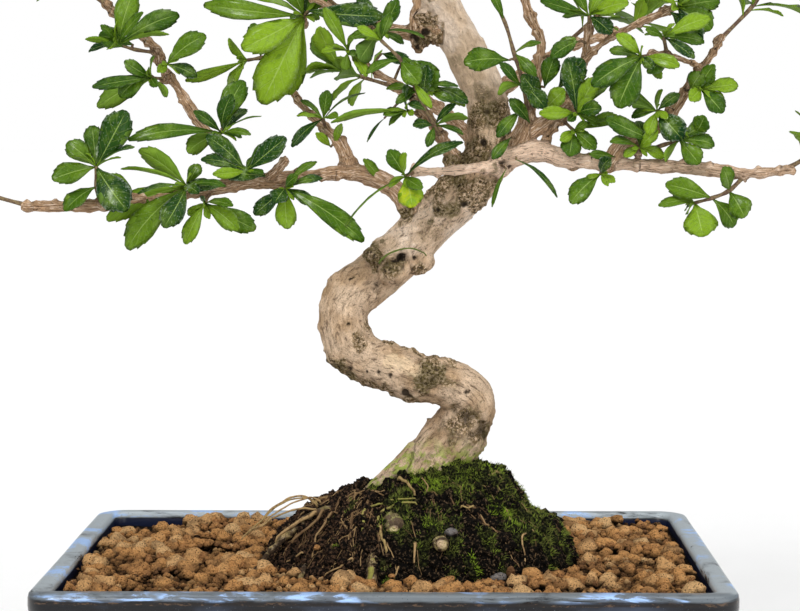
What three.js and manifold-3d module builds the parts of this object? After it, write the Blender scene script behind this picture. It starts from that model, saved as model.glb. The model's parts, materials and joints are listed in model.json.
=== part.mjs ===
// Fukien tea bonsai in a glazed rectangular pot.
// Millimetres, +Z up, the front towards -Y.
// The origin is on the ground, under the middle of the pot.
import * as THREE from "three";
import { mergeVertices } from "three/addons/utils/BufferGeometryUtils.js";
import Module from "manifold-3d";

const wasm = await Module();
wasm.setup();

// Driving dimensions
const GAP = 0.3;
const POT = {
  width: 278,
  depth: 204,
  height: 80,
  rimWidth: 9,
  rimHeight: 9,
  overhang: 4,
  cornerRadius: 12,
  innerCornerRadius: 6,
  cornerSteps: 3,
  taper: 11,
  wall: 7,
  floor: 8,
  edge: 1.5,
};
const FOOT = { length: 38, width: 24, height: 8, inset: 9, taper: 2 };
const DRAIN = { radius: 8, fromMiddle: 62, sides: 16 };
const SCREEN = { size: 25, thickness: 1.4, holes: 2, hole: 7, pitch: 9.5 };
const GRANULES = { spacing: 19, valley: 73, peak: 78.6, wander: 1.7, seed: 41 };
const MOUND = {
  centre: [10, -4],
  right: 72,
  left: 66,
  front: 61,
  back: 52,
  height: 35,
  lean: 3,
  spokes: 18,
  rings: [0.42, 0.76, 1],
  steepness: 4,
  lumps: 2.2,
  seed: 7,
};
const LEAF = {
  thickness: 0.7,
  clearance: 0.9,
  arch: 0.09,
  fold: 0.24,
  rib: 0.55,
  innerPart: 0.3,
  longFrom: 26,
  // Places along the blade and half widths, from its side to the notch by the tip
  longOutline: [[0.56, 1], [0.86, 0.84], [0.85, 0.42]],
  shortOutline: [[0.7, 1], [0.8, 0.5]],
};
const STEM = { radius: 1.4, collar: 1.6, sides: 6, out: [0.3, -1, 0.2] };

// The wood: each limb is a line of points, x, y, z and the radius there.
const TRUNK_SIDES = 8;
const BRANCH_SIDES = 5;
const LIMBS = [
  {
    sides: TRUNK_SIDES,
    steps: 5,
    points: [[10, 0, 58, 9], [12, 0, 84, 14], [15, 0, 101, 15.5], [19, 0, 114, 12.6],
      [27, -3, 130, 10.8], [35, -6, 145, 11]],
  },
  {
    sides: TRUNK_SIDES,
    steps: 4,
    points: [[36, -6, 144, 11], [18, -8, 154, 10.6], [-1, -6, 160, 10.2], [-17, 0, 173, 10.4]],
  },
  {
    sides: TRUNK_SIDES,
    steps: 16,
    points: [[-18, 0, 173, 10.4], [-16, 3, 187, 10.9], [-1, 6, 203, 10.8], [16, 5, 219, 10.3],
      [31, 2, 232, 10.6], [42, 0, 247, 10.2], [43, 2, 268, 8.7], [35, 5, 289, 8.7],
      [22, 8, 314, 8.4], [12, 9, 338, 7.4], [10, 8, 362, 6.4], [21, 4, 388, 5.2],
      [29, 0, 412, 4], [27, -2, 436, 3], [24, -3, 454, 2]],
  },
  // The long branch to the left, and what grows on it
  {
    steps: 8,
    points: [[10, 2, 226, 5.4], [2, 0, 235, 4.2], [-12, -4, 241, 3.2], [-32, -10, 240, 2.5],
      [-49, -14, 238, 3], [-61, -18, 237, 3], [-82, -22, 233, 2.8], [-104, -26, 231, 2.7],
      [-121, -28, 228, 2.5], [-149, -36, 228, 1.9]],
  },
  {
    steps: 6,
    points: [[-15, -4, 241, 3.6], [-19, -1, 252, 3.2], [-25, 3, 259, 2.1], [-35, 8, 268, 1.8],
      [-43, 13, 280, 1.8], [-45, 12, 293, 1.7], [-36, 8, 306, 1.6], [-33, 6, 322, 1.4]],
  },
  { steps: 3, points: [[-52, -15, 238, 2.2], [-46, -19, 242, 2], [-41, -22, 247, 1.7]] },
  {
    steps: 6,
    points: [[-59, -16, 236, 2.8], [-67, -12, 249, 2.4], [-74, -8, 256, 2.4], [-81, -4, 265, 2.3],
      [-88, 0, 276, 2.1], [-95, 2, 285, 2], [-98, 2, 293, 2.2], [-108, 0, 302, 1.8],
      [-120, -4, 313, 1.5]],
  },
  // Two branches up to the left of the trunk
  {
    steps: 5,
    points: [[32, -5, 242, 4], [21, -12, 259, 2.8], [16, -13, 267, 2.4], [6, -12, 277, 1.8],
      [-4, -10, 283, 1.6], [-14, -8, 291, 1.8]],
  },
  {
    steps: 5,
    points: [[26, 4, 287, 3.6], [10, -4, 293, 2.6], [-1, -6, 298, 2.6], [-7, -7, 302, 2.4],
      [-22, -6, 309, 1.8], [-37, -8, 319, 1.5]],
  },
  { steps: 2, points: [[13, 1, 292, 1.8], [11, -8, 304, 1.4], [14, -9, 317, 1.2]] },
  // The short pink stub across the front of the trunk
  { steps: 3, points: [[50, -8, 245, 3.4], [36, -16, 243, 2], [22, -18, 242, 1.5], [11, -19, 242, 1.9]] },
  // The long branch to the right, its fork, the cut stub and the link between them
  {
    steps: 7,
    points: [[42, -1, 243, 7], [53, -9, 248, 5], [64, -11, 250, 4.2], [76, -13, 247, 3.6],
      [96, -15, 245, 3.1], [116, -17, 244, 2.6], [132, -19, 243, 2.6], [149, -22, 241, 2.2],
      [168, -27, 243, 1.8]],
  },
  {
    steps: 6,
    points: [[51, -8, 247, 4.6], [57, -8, 257, 3.9], [60, -6, 267, 3.2], [63, -3, 280, 2.2],
      [65, 0, 296, 2], [60, 3, 308, 2.1], [57, 5, 322, 1.7]],
  },
  { steps: 3, points: [[56, -8, 255, 3.4], [66, -9, 262, 3], [77, -9, 270, 2.6]] },
  { steps: 2, points: [[64, -10, 250, 2], [68, -10, 257, 1.5], [72, -9, 265, 1.8]] },
  {
    steps: 5,
    points: [[73, -8, 267, 2], [79, -5, 279, 1.5], [83, -2, 288, 1.9], [90, -3, 295, 1.5],
      [102, -6, 302, 1.5], [120, -10, 310, 1.4]],
  },
  { steps: 2, points: [[83, -2, 287, 1.8], [84, -2, 295, 1.3], [85, -2, 304, 1.4]] },
  {
    steps: 6,
    points: [[93, -15, 245, 4.2], [99, -13, 253, 3.4], [108, -12, 257, 2.4], [116, -12, 262, 2.3],
      [121, -12, 269, 2.2], [126, -14, 277, 2.2], [132, -16, 286, 1.4], [140, -16, 298, 1.3]],
  },
  { steps: 3, points: [[132, -16, 285, 1.4], [126, -18, 287, 1.3], [116, -22, 290, 1.4], [109, -23, 290, 1.8]] },
  { steps: 2, points: [[77, -12, 246, 2.6], [79, -13, 240, 2]] },
  // Branches above the photo's upper edge, then those at the back
  { steps: 3, points: [[14, 8, 342, 4.4], [-12, 0, 352, 3.2], [-42, -8, 362, 2.6], [-76, -14, 370, 2], [-104, -18, 374, 1.6]] },
  { steps: 3, points: [[14, 7, 374, 4], [46, -4, 384, 3], [80, -12, 394, 2.4], [118, -16, 402, 1.6]] },
  { steps: 3, points: [[13, 6, 350, 4], [10, -24, 362, 2.8], [4, -58, 374, 2.2], [-4, -92, 380, 1.6]] },
  { steps: 3, points: [[11, 10, 348, 4], [8, 42, 352, 2.8], [-2, 74, 362, 2.2], [-2, 105, 368, 1.6]] },
  { steps: 3, points: [[40, 6, 250, 4.4], [34, 34, 258, 3], [18, 70, 272, 2.4], [0, 104, 280, 1.7]] },
  { steps: 3, points: [[42, 5, 272, 4], [62, 34, 286, 2.8], [84, 64, 298, 2.2], [104, 88, 304, 1.6]] },
  { steps: 3, points: [[30, 10, 298, 4], [-2, 34, 304, 2.8], [-38, 58, 318, 2.2], [-72, 78, 324, 1.6]] },
  { steps: 3, points: [[23, 4, 390, 3], [-2, 10, 404, 2.2], [-34, 16, 416, 1.6], [-52, 16, 424, 1.4]] },
  { steps: 3, points: [[29, 0, 410, 2.8], [50, 6, 424, 2], [76, 12, 434, 1.5], [88, 14, 438, 1.3]] },
  { steps: 3, points: [[27, -2, 432, 2.4], [24, -28, 440, 1.8], [21, -52, 446, 1.4]] },
  { steps: 3, points: [[28, 0, 422, 2.6], [32, 30, 434, 1.8], [30, 58, 442, 1.4]] },
  // Roots: two on the left, a thick cut one at the front, two cut ones below it, right, back
  { steps: 4, points: [[15, 0, 102, 11], [0, -6, 103, 8], [-14, -13, 103, 5.4], [-32, -20, 103, 4.6],
    [-46, -28, 92, 2.8], [-57, -37, 78, 1.8]] },
  { steps: 3, points: [[-14, -12, 102, 4], [-22, -28, 100, 3], [-31, -40, 90, 2.2], [-36, -52, 76, 1.6]] },
  { steps: 3, points: [[12, -6, 98, 9], [3, -26, 102, 6.4], [3, -42, 99, 5.8], [4, -50, 97, 5.2]] },
  { steps: 3, points: [[2, -34, 96, 4.6], [-4, -54, 93, 2.8], [-5, -61, 80, 2.4], [-5, -60, 70, 2]] },
  { steps: 3, points: [[14, -16, 90, 5], [21, -42, 92, 3.4], [23, -57, 90, 2.8]] },
  { steps: 3, points: [[18, 4, 98, 10], [44, 10, 98, 6], [66, 13, 88, 4], [80, 15, 74, 2.6]] },
  { steps: 3, points: [[14, 6, 96, 10], [12, 28, 98, 6], [8, 42, 88, 4], [6, 50, 72, 2.6]] },
];

// Knots and healed cuts: centre and size along x, y and z
const KNOTS = [
  [[1, -3, 200], [5.6, 4.6, 5.6]],
  [[19.5, 3, 204], [4.4, 4.4, 4.4]],
  [[18, -16, 156], [5.6, 4.4, 5.6]],
  [[16, -1, 301], [6.6, 5.4, 8]],
  [[47, -7, 244], [6.4, 5.4, 5.6]],
  [[9, 0, 229], [6, 5, 5]],
  [[-16, -4, 244], [4.2, 4, 4.6]],
];

// Leafy shoots that the photo shows. Each stem is a line of points. Each leaf has the number of
// the stem point that it grows from, its tip from there along x, y and z, its width, and how far
// its upper face turns to the front, or its lower face where that number is negative.
const SEEN_SHOOTS = {
  left_end_top: {
    stem: [[-98, 0, 292], [-106, -4, 293], [-113, -7, 295]],
    leaves: [[2, -7, -3, 8, 5, 0.5], [2, 6, 4, 22, 10, 0.9], [2, 25, 8, 13, 9, 0.9],
      [2, 22, -3, 4, 4, -0.4], [2, -13, -6, 2, 4, -0.5], [2, -13, 3, -3, 5, 0.4], [2, 12, -9, 13, 6, 0.6]],
  },
  left_bud_right: {
    stem: [[-96, 1, 288], [-93, -3, 287]],
    leaves: [[1, 17, -3, 12, 10, 0.9], [1, 10, 2, -6, 3, 0.3]],
  },
  left_bud_left: {
    stem: [[-94, 0, 281], [-99, -6, 281]],
    leaves: [[1, -11, -5, 7, 6, 0.8], [1, -24, 4, -12, 9, -0.9], [1, -24, -9, -4, 6, 0.8],
      [1, 7, -5, -8, 4, -0.7]],
  },
  left_fork: {
    stem: [[-75, -8, 257], [-69, -14, 258]],
    leaves: [[1, 9, 4, 22, 10, 0.8], [1, 10, 8, 10, 6, 0.5], [1, 17, 0, 7, 3, 0.1],
      [1, -11, -8, 9, 5, 0.8], [1, 13, -8, -1, 4, 0.5], [1, -14, -5, -8, 8, -0.8],
      [1, -38, -10, -3, 7, 0.7]],
  },
  left_mid_top: {
    stem: [[-58, -16, 238], [-58, -23, 242]],
    leaves: [[1, -16, -6, 15, 8, 0.8], [1, 17, -4, 14, 9, 0.7], [1, -18, -9, 5, 6, 0.7],
      [1, -13, -11, -1, 5, 0.9], [1, -11, 6, 9, 6, 0.5], [1, 11, 8, 11, 7, 0.6]],
  },
  left_mid_low: {
    stem: [[-79, -22, 234], [-82, -28, 236]],
    leaves: [[1, -20, 0, 15, 9, -0.6], [1, -27, -5, 7, 5, -0.3], [1, 5, 2, 9, 6, 0.7],
      [1, -19, -13, -3, 4, 0.3], [1, 17, -11, 0, 4, 0.5], [1, -9, -8, -17, 10, 0.9],
      [1, -25, -2, -26, 12, 0.8], [1, -33, -4, -14, 10, -0.7]],
  },
  left_knob: {
    stem: [[-73, -21, 234], [-75, -26, 229]],
    leaves: [[1, 15, -8, -11, 8, 0.9], [1, 21, 2, -11, 9, 0.8], [1, -8, -3, -17, 7, 0.9],
      [1, 13, -14, -1, 5, 0.5]],
  },
  left_inner: {
    stem: [[-43, -13, 238], [-42, -20, 235]],
    leaves: [[1, -13, -2, -11, 7, 0.8], [1, -4, -9, -6, 8, 0.7], [1, 1, -3, -17, 9, 0.9],
      [1, 16, -6, 4, 6, 0.5], [1, 13, 5, 11, 4, 0.4], [1, 33, -5, -22, 9, 0.8]],
  },
  left_far: {
    stem: [[-118, -28, 229], [-119, -32, 236], [-119, -32, 244]],
    leaves: [[2, 13, -2, 23, 13, 0.9], [2, 17, -8, 8, 6, 0.3], [2, 14, -10, -18, 14, 0.9],
      [2, -12, 0, 10, 9, 0.8], [2, -17, -8, -5, 10, 0.8], [1, -12, -8, -10, 9, 0.6], [2, -3, 10, 17, 8, 0.7]],
  },
  upper_left_rosette: {
    stem: [[-36, 8, 305], [-35, 0, 307]],
    leaves: [[1, -26, -8, -14, 13, 0.9], [1, -18, -4, -37, 18, 0.95], [1, -7, 6, -33, 10, 0.8],
      [1, -43, 2, 5, 9, 0.8], [1, 33, 4, -2, 9, 0.8], [1, -24, 8, 8, 5, 0.5], [1, 11, -4, 14, 9, 0.8],
      [1, -9, -6, 18, 10, 0.8]],
  },
  upper_left_hidden: {
    stem: [[-46, 12, 291], [-54, 10, 290], [-60, 9, 289]],
    leaves: [[2, -26, -6, -9, 5, -0.8], [1, -4, 4, 15, 7, 0.6], [2, -8, 8, -13, 6, 0.6]],
  },
  inner_left_bud: {
    stem: [[-13, -9, 290], [-16, -14, 292]],
    leaves: [[1, -10, -2, 18, 6, 0.8], [1, -1, -3, -8, 5, -0.6], [1, 8, -8, -11, 5, 0.6]],
  },
  inner_left_knot: {
    stem: [[-5, -8, 301], [-3, -14, 300]],
    leaves: [[1, -12, -6, -3, 5, 0.6], [1, -8, -10, -12, 9, -0.8], [1, 8, -6, 13, 7, 0.9],
      [1, 19, -7, -3, 4, 0.3], [1, -9, 2, 14, 7, 0.7]],
  },
  dark_shoot: {
    stem: [[23, -14, 256], [20, -18, 261], [15, -20, 270], [11, -23, 279], [6, -23, 288], [-2, -21, 296]],
    leaves: [[4, -14, -7, -6, 5, 0.6], [4, 8, -6, -10, 9, 0.8], [2, 2, -5, 16, 6, 0.9],
      [5, -10, -6, 5, 5, 0.6], [5, 4, -4, 11, 5, 0.7], [3, 8, -7, -11, 4, 0.8], [1, 9, -3, 9, 4, 0.6],
      [1, -9, -4, 0, 5, 0.6], [1, 14, -7, 3, 6, -0.4], [1, 12, -5, -4, 4, 0.5], [1, -3, -6, -9, 4, 0.8]],
  },
  side_bud_left: {
    stem: [[-26, 3, 259], [-27, -3, 264]],
    leaves: [[1, 2, -2, 12, 6, 0.9], [1, 18, 3, 11, 3, 0.1], [1, -10, 6, 8, 4, 0.4], [1, -13, -7, -12, 5, 0.7]],
  },
  inner_mid: {
    stem: [[9, -12, 274], [13, -18, 276]],
    leaves: [[1, -13, -3, 0, 4, 0.5], [1, -9, -6, -6, 4, 0.6], [1, 17, -4, 1, 4, 0.4],
      [1, 20, 4, -7, 6, -0.5]],
  },
  pink_tip: {
    stem: [[12, -19, 242], [8, -24, 240]],
    leaves: [[1, -7, -3, 11, 7, 0.9], [1, 3, -5, -13, 11, 1], [1, 24, -6, 14, 6, 0.5],
      [1, -25, -3, -21, 3, 0.2]],
  },
  inner_bud_leaf: {
    stem: [[14, -13, 266], [9, -19, 267]],
    leaves: [[1, -32, -4, -5, 5, -0.5], [1, -8, 3, -6, 4, 0.5]],
  },
  fork_shoot: {
    stem: [[59, -7, 267], [57, -16, 278], [53, -18, 291], [49, -18, 304], [43, -18, 315]],
    leaves: [[1, -24, -8, 9, 9, 0.8], [1, -11, -9, -4, 5, -0.6], [1, 9, -7, -10, 8, 0.9],
      [2, 9, -7, -10, 5, 0.9], [2, 11, -5, 4, 4, 0.5], [3, -6, -4, 13, 4, 0.8], [4, -9, -3, 8, 8, 0.8],
      [4, 9, -4, 12, 8, 0.8]],
  },
  stub_up: {
    stem: [[75, -10, 268], [79, -18, 266]],
    leaves: [[1, -4, -2, 23, 9, 0.9], [1, -16, -8, 0, 6, 0.9], [1, 8, -2, 15, 8, 0.8],
      [1, 10, -7, 2, 7, 0.7], [1, 14, 7, 14, 6, 0.5]],
  },
  stub_down: {
    stem: [[74, -9, 263], [78, -15, 259]],
    leaves: [[1, -2, -5, -11, 9, 0.8], [1, 9, -5, -8, 7, 0.8], [1, 25, -6, 3, 5, 0.3],
      [1, 19, 6, 6, 6, 0.8]],
  },
  right_spur: {
    stem: [[85, -2, 302], [85, -4, 307]],
    leaves: [[1, -21, -6, 6, 6, 0.8], [1, -5, 2, 10, 5, 0.8], [1, 7, 5, 13, 6, 0.8],
      [1, 16, -8, 5, 9, 0.7], [1, 9, -6, -8, 8, 0.8], [1, -11, 6, 0, 5, 0.5]],
  },
  right_twig_tip: {
    stem: [[117, -9, 309], [121, -14, 310]],
    leaves: [[1, 14, -4, -9, 11, 0.8], [1, 18, 4, 3, 9, 0.8], [1, -11, 4, 11, 9, 0.8],
      [1, 6, -9, -16, 9, 0.9], [1, 4, 7, 16, 9, 0.8], [1, 8, -12, 10, 6, 0.6]],
  },
  right_knob: {
    stem: [[110, -23, 290], [105, -28, 289]],
    leaves: [[1, -21, -6, -12, 10, 0.8], [1, -13, 4, 3, 6, 0.6], [1, -11, -5, 9, 6, 0.8],
      [1, -10, -3, -21, 13, 0.9], [1, 15, -6, -4, 6, 0.8], [1, 8, -2, -9, 5, -0.6]],
  },
  right_upright: {
    stem: [[116, -22, 290], [114, -27, 297]],
    leaves: [[1, -8, -5, 3, 4, 0.8], [1, 12, -6, -9, 6, 0.6], [1, 17, 2, -2, 6, 0.7],
      [1, 19, -1, 8, 8, 0.8]],
  },
  second_bud: {
    stem: [[118, -13, 266], [112, -22, 267]],
    leaves: [[1, -18, -5, 10, 6, 0.4], [1, -11, -7, 3, 5, -0.6], [1, 9, -4, 7, 5, 0.8],
      [1, 10, -7, -12, 11, 0.9], [1, -4, -3, -10, 6, 0.6]],
  },
  second_side: {
    stem: [[126, -15, 277], [130, -21, 276]],
    leaves: [[1, 5, -6, 10, 6, 0.7], [1, 9, -3, -10, 9, 0.7], [1, 16, 4, 2, 8, 0.7]],
  },
  second_low: {
    stem: [[104, -14, 254], [105, -20, 252]],
    leaves: [[1, -16, -5, 10, 7, -0.8], [1, 0, 5, 11, 7, 0.8], [1, -13, -9, 2, 5, 0.5]],
  },
  right_dark_twig: {
    stem: [[105, -14, 250], [115, -21, 253], [121, -24, 255]],
    leaves: [[2, -6, -4, -9, 6, -0.5], [2, -3, -11, -3, 8, 0.9], [2, 8, -4, -10, 9, 0.8],
      [2, 15, 2, -2, 8, 0.7], [2, 12, 4, 7, 7, 0.6]],
  },
  right_hang_leaf: {
    stem: [[90, -15, 244], [89, -22, 241]],
    leaves: [[1, -13, -5, -12, 9, 0.8]],
  },
  right_drop: {
    stem: [[148, -22, 240], [142, -22, 234], [135, -22, 231], [128, -22, 229]],
    leaves: [[3, -16, -8, -1, 5, 0.7], [3, 3, -5, -14, 15, 0.9], [2, -20, -6, 6, 9, 0.9],
      [1, 6, -5, -11, 10, 0.8], [1, -4, -10, 10, 8, 0.7], [2, 10, 4, -12, 9, 0.7]],
  },
};

// Shoots beyond the photo's edges: their leaves turn round the stem by a rule.
const GROWN_SHOOTS = {
  far_left_tip: { stem: [[-146, -35, 228], [-161, -38, 232], [-172, -38, 240]], count: 7, length: 23 },
  far_right_tip: { stem: [[165, -26, 243], [172, -28, 247], [176, -28, 254]], count: 7, length: 20 },
  upper_left_tip: { stem: [[-118, -4, 312], [-130, -7, 320], [-140, -8, 332]], count: 7, length: 23 },
  upper_right_tip: { stem: [[138, -16, 296], [150, -16, 308], [158, -14, 320]], count: 7, length: 22 },
  left_shelf_mid: { stem: [[-56, -11, 366], [-62, -26, 374], [-66, -34, 382]], count: 7, length: 22 },
  left_shelf_tip: { stem: [[-102, -18, 374], [-118, -20, 380], [-132, -18, 388]], count: 7, length: 23 },
  right_shelf_mid: { stem: [[64, -8, 390], [74, -24, 396], [80, -34, 404]], count: 7, length: 22 },
  right_shelf_tip: { stem: [[116, -16, 402], [130, -16, 408], [142, -12, 416]], count: 7, length: 23 },
  front_mid: { stem: [[6, -42, 368], [-6, -56, 384], [-10, -60, 394]], count: 7, length: 21 },
  front_tip: { stem: [[-4, -90, 380], [-4, -108, 386], [-2, -121, 394]], count: 7, length: 22 },
  back_mid: { stem: [[4, 58, 356], [22, 66, 364], [34, 72, 370]], count: 7, length: 21 },
  back_tip: { stem: [[-2, 104, 368], [0, 110, 376], [4, 113, 386]], count: 7, length: 22 },
  back_low_tip: { stem: [[1, 102, 280], [-12, 112, 284], [-24, 116, 288]], count: 7, length: 22 },
  back_right_tip: { stem: [[102, 86, 304], [114, 96, 308], [122, 100, 316]], count: 7, length: 22 },
  back_right_mid: { stem: [[72, 48, 292], [88, 40, 306], [98, 36, 316]], count: 7, length: 21 },
  back_left_tip: { stem: [[-70, 77, 324], [-84, 86, 328], [-94, 90, 336]], count: 7, length: 22 },
  back_left_mid: { stem: [[-20, 46, 311], [-34, 40, 324], [-46, 36, 332]], count: 7, length: 21 },
  top_left_tip: { stem: [[-50, 16, 423], [-64, 14, 430], [-72, 12, 438]], count: 7, length: 22 },
  top_right_tip: { stem: [[86, 14, 437], [96, 14, 442], [104, 12, 448]], count: 7, length: 21 },
  top_front_tip: { stem: [[21, -50, 446], [20, -62, 450], [18, -68, 458]], count: 7, length: 20 },
  top_back_tip: { stem: [[30, 56, 441], [28, 68, 446], [24, 74, 454]], count: 7, length: 20 },
  apex: { stem: [[25, -3, 450], [23, -4, 462], [20, -4, 472]], count: 7, length: 21 },
};
const GROWTH = {
  turn: 137.5,
  nodes: [0, 0.6, 1],
  openBelow: 78,
  openAbove: 34,
  shortest: 0.78,
  longest: 1.15,
  slimmest: 0.4,
  broadest: 0.52,
  skyward: 0.7,
  wander: 14,
  firstSeed: 101,
};

// Finishes
const glaze = new THREE.MeshStandardMaterial({ color: 0x232a3a, roughness: 0.22, metalness: 0 });
const plastic = new THREE.MeshStandardMaterial({ color: 0x1c1c1c, roughness: 0.6, metalness: 0 });
const clay = new THREE.MeshStandardMaterial({ color: 0xb6783f, roughness: 0.95, metalness: 0 });
const peat = new THREE.MeshStandardMaterial({ color: 0x2b2a1c, roughness: 1, metalness: 0 });
const bark = new THREE.MeshStandardMaterial({ color: 0xb79a78, roughness: 0.9, metalness: 0 });
const leafGreen = new THREE.MeshStandardMaterial({ color: 0x3f7a24, roughness: 0.4, metalness: 0 });

// A seeded source of numbers from 0 to 1
function seeded(seed) {
  let state = seed >>> 0;
  return () => {
    state = (Math.imul(state, 1664525) + 1013904223) >>> 0;
    return state / 4294967296;
  };
}

function vector(point) {
  return new THREE.Vector3(point[0], point[1], point[2]);
}

function solidOf(geometry) {
  geometry.deleteAttribute("normal");
  geometry.deleteAttribute("uv");
  const merged = mergeVertices(geometry, 1e-4);
  return new wasm.Manifold(new wasm.Mesh({
    numProp: 3,
    vertProperties: new Float32Array(merged.attributes.position.array),
    triVerts: new Uint32Array(merged.index.array),
  }));
}

function joined(solids) {
  return solids.reduce((all, one) => all.add(one));
}

// The largest piece of a solid, without scraps that a cut has left loose
function largest(solid) {
  const pieces = solid.decompose();
  return pieces.reduce((best, one) => (one.volume() > best.volume() ? one : best));
}

function meshOf(name, solid, material) {
  const { vertProperties, triVerts } = solid.getMesh();
  const geometry = new THREE.BufferGeometry();
  geometry.setAttribute("position", new THREE.BufferAttribute(vertProperties, 3));
  geometry.setIndex(new THREE.BufferAttribute(triVerts, 1));
  geometry.computeVertexNormals();
  const mesh = new THREE.Mesh(geometry, material);
  mesh.name = name;
  return mesh;
}

// A closed skin over a row of rings, with one point closing each end
function skin(rings, first, last) {
  const around = rings[0].length;
  const points = [...rings.flat(), first, last];
  const firstIndex = points.length - 2;
  const lastIndex = points.length - 1;
  const top = (rings.length - 1) * around;
  const index = [];
  for (let side = 0; side < around; side += 1) {
    const next = (side + 1) % around;
    for (let ring = 0; ring < rings.length - 1; ring += 1) {
      const low = ring * around;
      const high = low + around;
      index.push(low + side, low + next, high + next);
      index.push(low + side, high + next, high + side);
    }
    index.push(firstIndex, next, side);
    index.push(top + side, top + next, lastIndex);
  }
  const geometry = new THREE.BufferGeometry();
  geometry.setAttribute("position", new THREE.Float32BufferAttribute(points.flatMap((p) => p.toArray()), 3));
  geometry.setIndex(index);
  return solidOf(geometry);
}

function roundedRectangle(width, depth, radius) {
  const points = [];
  const corners = [[1, 1], [-1, 1], [-1, -1], [1, -1]];
  corners.forEach(([signX, signY], corner) => {
    for (let step = 0; step <= POT.cornerSteps; step += 1) {
      const angle = (corner + step / POT.cornerSteps) * Math.PI / 2;
      points.push([
        signX * (width / 2 - radius) + radius * Math.cos(angle),
        signY * (depth / 2 - radius) + radius * Math.sin(angle),
      ]);
    }
  });
  return points;
}

// A solid through rounded rectangles, each with its height, width, depth and corner radius
function lofted(levels) {
  const rings = levels.map(([z, width, depth, radius]) => (
    roundedRectangle(width, depth, radius).map(([x, y]) => new THREE.Vector3(x, y, z))
  ));
  const first = new THREE.Vector3(0, 0, levels[0][0]);
  const last = new THREE.Vector3(0, 0, levels[levels.length - 1][0]);
  return skin(rings, first, last);
}

function innerLevels(shrink) {
  const { width, depth, height, rimWidth, rimHeight, overhang, taper, wall, floor, edge } = POT;
  const mouth = 2 * rimWidth + 2 * shrink;
  const below = 2 * (overhang + wall) + 2 * shrink;
  const foot = below + 2 * taper;
  const radius = POT.innerCornerRadius;
  const ground = FOOT.height + floor + shrink;
  return [
    [ground, width - foot, depth - foot, radius],
    [height - rimHeight - wall, width - below, depth - below, radius],
    [height - rimHeight, width - mouth, depth - mouth, radius],
    [height - edge, width - mouth, depth - mouth, radius],
    [height, width - mouth + 2 * edge, depth - mouth + 2 * edge, radius + edge],
  ];
}

function potSolid() {
  const { width, depth, height, rimHeight, overhang, cornerRadius, taper, edge } = POT;
  const neck = 2 * overhang;
  const base = neck + 2 * taper;
  const outer = lofted([
    [FOOT.height, width - base - 6, depth - base - 6, cornerRadius],
    [FOOT.height + 4, width - base, depth - base, cornerRadius],
    [height - rimHeight - 3, width - neck, depth - neck, cornerRadius],
    [height - rimHeight, width - edge, depth - edge, cornerRadius],
    [height - rimHeight + 2, width, depth, cornerRadius],
    [height - 2 * edge, width, depth, cornerRadius],
    [height - edge / 2, width - edge, depth - edge, cornerRadius],
    [height, width - 3 * edge, depth - 3 * edge, cornerRadius],
  ]);
  const levels = innerLevels(0);
  const top = levels[levels.length - 1];
  const inner = lofted([...levels, [height + 5, top[1] + 4, top[2] + 4, top[3]]]);
  let pot = outer.subtract(inner);
  for (const signX of [-1, 1]) {
    for (const signY of [-1, 1]) {
      pot = pot.add(footSolid(signX, signY));
    }
    pot = pot.subtract(drainHole(signX));
  }
  return pot;
}

function footSolid(signX, signY) {
  const x = signX * (POT.width / 2 - POT.overhang - POT.taper - FOOT.inset - FOOT.length / 2);
  const y = signY * (POT.depth / 2 - POT.overhang - POT.taper - FOOT.inset - FOOT.width / 2);
  const ring = (grow, z) => [[1, 1], [-1, 1], [-1, -1], [1, -1]].map(([a, b]) => (
    new THREE.Vector3(x + a * (FOOT.length / 2 + grow), y + b * (FOOT.width / 2 + grow), z)
  ));
  const top = FOOT.height + 2;
  return skin([ring(-FOOT.taper, 0), ring(0, top)], new THREE.Vector3(x, y, 0), new THREE.Vector3(x, y, top));
}

function drainHole(signX) {
  const hole = new THREE.CylinderGeometry(DRAIN.radius, DRAIN.radius, 2 * POT.floor, DRAIN.sides);
  hole.rotateX(Math.PI / 2);
  hole.translate(signX * DRAIN.fromMiddle, 0, FOOT.height + POT.floor / 2);
  return solidOf(hole);
}

function box(width, depth, height, x, y, z) {
  const geometry = new THREE.BoxGeometry(width, depth, height);
  geometry.translate(x, y, z);
  return solidOf(geometry);
}

// A square plate of coarse mesh over one drainage hole
function screenSolid(signX) {
  const centreX = signX * DRAIN.fromMiddle;
  const centreZ = FOOT.height + POT.floor + GAP + SCREEN.thickness / 2;
  const middle = (SCREEN.holes - 1) / 2;
  let plate = box(SCREEN.size, SCREEN.size, SCREEN.thickness, centreX, 0, centreZ);
  for (let row = 0; row < SCREEN.holes; row += 1) {
    for (let column = 0; column < SCREEN.holes; column += 1) {
      const x = centreX + (column - middle) * SCREEN.pitch;
      const y = (row - middle) * SCREEN.pitch;
      plate = plate.subtract(box(SCREEN.hole, SCREEN.hole, 2 * SCREEN.thickness, x, y, centreZ));
    }
  }
  return plate;
}

function screenRoom(signX) {
  const size = SCREEN.size + 2 * GAP;
  const height = 2 * (SCREEN.thickness + 2 * GAP);
  return box(size, size, height, signX * DRAIN.fromMiddle, 0, FOOT.height + POT.floor);
}

// The mound's reach and height in one direction from its centre
function moundReach(angle) {
  const alongX = Math.cos(angle);
  const alongY = Math.sin(angle);
  const reachX = alongX > 0 ? MOUND.right : MOUND.left;
  const reachY = alongY > 0 ? MOUND.back : MOUND.front;
  return 1 / Math.hypot(alongX / reachX, alongY / reachY);
}

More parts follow.
